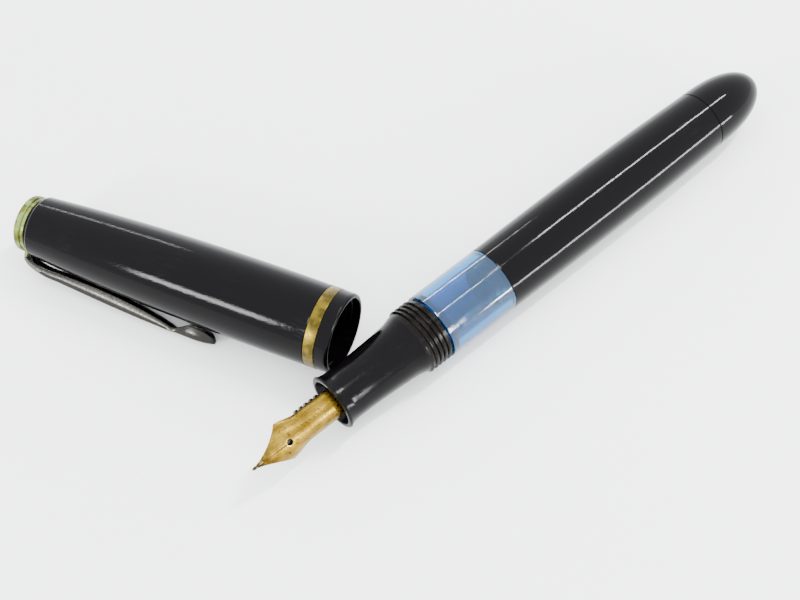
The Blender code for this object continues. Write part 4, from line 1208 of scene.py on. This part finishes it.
    def build_ring(self) -> bpy.types.Object:
        """The clip's ring: a thin washer with the lug that the clip grows from."""
        low = self.shell_length + self.gap
        high = low + self.ring_thickness
        outside = self.disc_radius - 0.2 * mm
        ring = Bench.turned("clip_washer", [(self.stud_radius, high), (outside, high), (outside, low),
                                            (self.stud_radius, low)])
        reach = 5.7 * mm
        inner = self.stud_radius + 0.9 * mm
        Bench.deselect()
        bpy.ops.mesh.primitive_cube_add(size=1, location=((reach + inner) / 2, 0, (low + high) / 2),
                                        scale=(reach - inner, 2.9 * mm, self.ring_thickness * 0.9))
        lug = Bench.added("lug")
        Bench.boolean(ring, lug, "UNION")
        Bench.bevel(ring, 0.08 * mm, 2, 50)
        Bench.settle(ring, self.place, Smoothing.SHEET)
        return ring

    def build(self) -> None:
        """Builds and dresses the cap."""
        scuffed = BlackResin(wear=0.75, dents=0.01 * mm, pitting=0.010 * mm, grain=0.009 * mm)
        resin = scuffed.material("cap_resin", self.place)
        dress(self.build_shell(), resin, Body.CAP, "black_plastic", "cap_shell")
        band = TarnishedBrass().material("band_brass", self.place)
        dress(self.build_band(), band, Body.CAP, "brass", "cap_band")
        disc = TarnishedBrass((0.11, 0.115, 0.015), (0.05, 0.058, 0.010), (0.12, 0.165, 0.03), 0.6)
        dress(self.build_disc(), disc.material("disc_brass", self.place), Body.CAP, "brass", "cap_disc")
        inside = Moulded((0.003, 0.003, 0.003), (0.008, 0.007, 0.007), 0.4)
        inside = inside.material("liner_plastic", self.place)
        dress(self.build_liner(), inside, Body.CAP, "dark_plastic", "cap_liner")
        green_ring = disc.material("ring_brass_green", self.place)
        dress(self.build_ring(), green_ring, Body.CAP, "gilt_metal", "clip_ring")
        repaint("cap_stud", TarnishedBrass(salted=0.0).material("stud_brass", self.place))


@dataclass
class Clip:
    """The sprung clip: a folded strap that deepens to a blade and ends in a spearhead."""

    place: Matrix
    cap: Cap
    length: float = 39.0 * mm
    standoff: float = 2.4 * mm
    slope: float = 7.5 * mm
    width: float = 3.6 * mm
    end_width: float = 2.4 * mm
    blade: float = 2.3 * mm
    strap: float = 0.8 * mm
    sheet: float = 0.42 * mm
    bend: float = 0.22
    bow: float = 0.45 * mm
    ball_length: float = 8.0 * mm
    ball_width: float = 3.2 * mm
    ball_depth: float = 2.4 * mm
    root_radius: float = 5.8 * mm
    clearance: float = 0.3 * mm

    def spine(self, way: float) -> tuple[Vector, Vector]:
        """Follows the clip's outer line.

        Args:
            way: From 0 at the root to 1 at the free end.

        Returns:
            A point as (distance from the cap's axis, height) and the inward direction.
        """
        top = self.cap.shell_length + self.cap.gap + self.cap.ring_thickness
        elbow = Vector((self.cap.shell_radius(top - self.slope) + self.standoff, top - self.slope))
        root = Vector((self.root_radius, top))
        end_z = top - self.length
        ball_z = end_z + self.ball_length / 2
        end = Vector((self.cap.shell_radius(ball_z) + self.ball_depth + self.clearance, end_z))
        if way < self.bend:
            turn = way / self.bend * math.pi / 2
            point = Vector((root.x + (elbow.x - root.x) * math.sin(turn),
                            elbow.y + (root.y - elbow.y) * math.cos(turn)))
            rise = (elbow.x - root.x) * math.cos(turn)
            return point, Vector((-self.slope * math.sin(turn), -rise)).normalized()
        s = (way - self.bend) / (1 - self.bend)
        return elbow.lerp(end, s) + Vector((self.bow * math.sin(math.pi * s), 0)), Vector((-1, 0))

    def section(self, way: float) -> list[tuple[float, float]]:
        """The folded strap's section as (across, depth) points, outside first."""
        ball = self.ball_length / self.length
        run = min(way / (1 - ball), 1.0)
        depth = self.strap + (self.blade - self.strap) * math.sin(math.pi * run ** 1.3) ** 0.75
        width = self.width + (self.end_width - self.width) * run
        from_end = (1 - way) / ball
        fold = min(self.sheet, depth * 0.6)
        if from_end < 1:
            swell = math.sqrt(max(1 - (2 * from_end - 1) ** 2, 0.04))
            mix = min(1.0, (1 - from_end) * 3)
            depth += (self.ball_depth * swell - depth) * mix
            width += (self.ball_width * swell - width) * mix
            fold += (depth * 0.9 - fold) * mix
        half = width / 2
        inner = max(half - self.sheet, half * 0.35)
        outside = [(half * 0.12, 0.0), (half * 0.45, 0.03 * depth), (half * 0.8, 0.12 * depth),
                   (half * 0.97, 0.34 * depth), (half, 0.66 * depth), (half * 0.96, 0.97 * depth)]
        inside = [(inner, depth * 0.98), (inner * 0.96, max(fold, 0.62 * depth * (fold / depth + 0.2))),
                  (inner * 0.7, fold), (inner * 0.2, fold)]
        right = outside + inside
        return right + [(-y, d) for y, d in reversed(right)]

    def build_clip(self) -> bpy.types.Object:
        """Skins the sections from the root to the free end and closes both ends."""
        rows = 110
        around = len(self.section(0.5))

        def on_clip(way: float, side: float) -> Vector:
            point, inward = self.spine(way)
            from_end = (1 - way) / (self.ball_length / self.length)
            if from_end < 1:
                swell = math.sqrt(max(1 - (2 * from_end - 1) ** 2, 0.04))
                drop = (1 - swell) * self.ball_depth * 0.25 * min(1.0, (1 - from_end) * 3)
                point = point - Vector((drop, 0))
            across, depth = self.section(way)[round(side * around) % around]
            return Vector((point.x + inward.x * depth, across, point.y + inward.y * depth))

        clip = Bench.skin("spring_clip", rows, around, on_clip)
        bpy.ops.object.mode_set(mode="EDIT")
        bpy.ops.mesh.select_all(action="SELECT")
        bpy.ops.mesh.remove_doubles(threshold=0.002 * mm)
        bpy.ops.mesh.select_all(action="DESELECT")
        bpy.ops.mesh.select_non_manifold()
        bpy.ops.mesh.edge_face_add()
        Bench.close_up()
        Bench.settle(clip, self.place, Smoothing.SHEET)
        return clip

    def build(self) -> None:
        """Builds and dresses the clip."""
        dress(self.build_clip(), WornPlating().material("clip_plating", self.place), Body.CLIP,
              "gilt_metal", "clip")


# ---- floor, light and camera -------------------------------------------------------------
@dataclass(frozen=True)
class Lamp:
    """A long narrow lamp beside a round part, which mirrors it as a thin line.

    It runs from start to end along a way, stands towards a level side at an elevation in degrees,
    and lies at the studio's distance. Lengths are in metres.
    """

    name: str
    along: Vector
    side: Vector
    elevation: float
    start: float
    end: float
    width: float
    radiance: float


@dataclass
class Studio:
    """A plain pale table, soft light and the camera."""

    camera_at: Vector = Vector((-138.73, -80.68, 218.59)) * mm
    look_at: Vector = Vector((-11.3, -10.68, 0.0)) * mm
    roll: float = math.radians(5.58)
    lens: float = 67.5
    floor_colour: Colour = (0.86, 0.865, 0.855)
    pen_way: Vector = Vector(joint("knob_turn")["axis"])
    cap_way: Vector = Vector((0.0, 1.0, 0.0))
    distance: float = 0.6
    room: float = 3.9

    def build_floor(self) -> None:
        """The table: a wide pale sheet."""
        Bench.deselect()
        bpy.ops.mesh.primitive_plane_add(size=6.0)
        floor = Bench.added("table")
        paper = Surface("pale_table", Matrix())
        cloud = paper.remap(paper.noise(60 * mm, detail=6), 0.3, 0.7)
        darker = tuple(c * 0.985 for c in self.floor_colour)
        paper.put("Base Color", paper.blend(cloud, self.floor_colour, darker))
        paper.put("Roughness", 0.6)
        paper.put("Specular IOR Level", 0.25)
        floor.data.materials.append(paper.material)

    def hang(self, lamp: Lamp) -> None:
        """Adds one long narrow lamp.

        Args:
            lamp: Its place, size and brightness.
        """
        data = bpy.data.lights.new(lamp.name, "AREA")
        data.shape = "RECTANGLE"
        data.size, data.size_y = lamp.end - lamp.start, lamp.width
        data.energy = lamp.radiance * math.pi * data.size * lamp.width
        light = bpy.data.objects.new(lamp.name, data)
        bpy.context.scene.collection.objects.link(light)
        x = lamp.along.normalized()
        angle = math.radians(lamp.elevation)
        z = (lamp.side.normalized() * math.cos(angle) + UP * math.sin(angle)).normalized()
        turned = Matrix((x, z.cross(x), z)).transposed().to_4x4()
        middle = x * (lamp.start + lamp.end) / 2 + z * self.distance
        light.matrix_world = Matrix.Translation(middle) @ turned

    def build_light(self) -> None:
        """Dim pale surroundings and narrow lamps beside the pen and the cap."""
        world = bpy.data.worlds.new("pale_room")
        world.use_nodes = True
        background = world.node_tree.nodes["Background"]
        background.inputs["Color"].default_value = (0.95, 0.97, 1.0, 1.0)
        background.inputs["Strength"].default_value = self.room
        bpy.context.scene.world = world
        near = -UP.cross(self.pen_way)
        far = Vector((1.0, 0.0, 0.0))
        for lamp in (
                Lamp("overhead", self.pen_way, near, 82, 0.27, 0.60, 0.032, 230.0),
                Lamp("overhead_front", self.pen_way, near, 80, 0.14, 0.24, 0.014, 60.0),
                Lamp("low_window", self.pen_way, near, 3, 0.23, 0.50, 0.05, 110.0),
                Lamp("desk_lamp", self.pen_way, near, 17, 0.14, 0.20, 0.16, 110.0),
                Lamp("far_shelf", self.cap_way, far, 38, 0.32, 0.50, 0.014, 90.0),
                Lamp("near_shelf", self.cap_way, -far, 27, 0.20, 0.345, 0.10, 100.0)):
            self.hang(lamp)

    def build_camera(self) -> None:
        """The camera, leaning a little to its right."""
        data = bpy.data.cameras.new("camera")
        data.lens = self.lens
        data.clip_start = 0.01
        camera = bpy.data.objects.new("camera", data)
        bpy.context.scene.collection.objects.link(camera)
        towards = (self.look_at - self.camera_at).normalized()
        level = towards.to_track_quat("-Z", "Y").to_matrix().to_4x4()
        lean = Matrix.Rotation(-self.roll, 4, "Z")
        camera.matrix_world = Matrix.Translation(self.camera_at) @ level @ lean
        bpy.context.scene.camera = camera

    def build(self) -> None:
        """Sets up the studio."""
        self.build_floor()
        self.build_light()
        self.build_camera()


def main() -> None:
    """Builds every sub-assembly and the studio."""
    pen = pen_frame()
    lean = math.radians(46)
    cap_place = cap_frame()
    cap = Cap(cap_place)
    for part in (Studio(), WritingEnd(pen @ Matrix.Rotation(lean, 4, "Z")), PenBody(pen), Piston(pen),
                 TailKnob(pen), cap, Clip(cap_place, cap)):
        part.build()
        log.info("%s done", type(part).__name__)


if __name__ == "__main__":
    main()
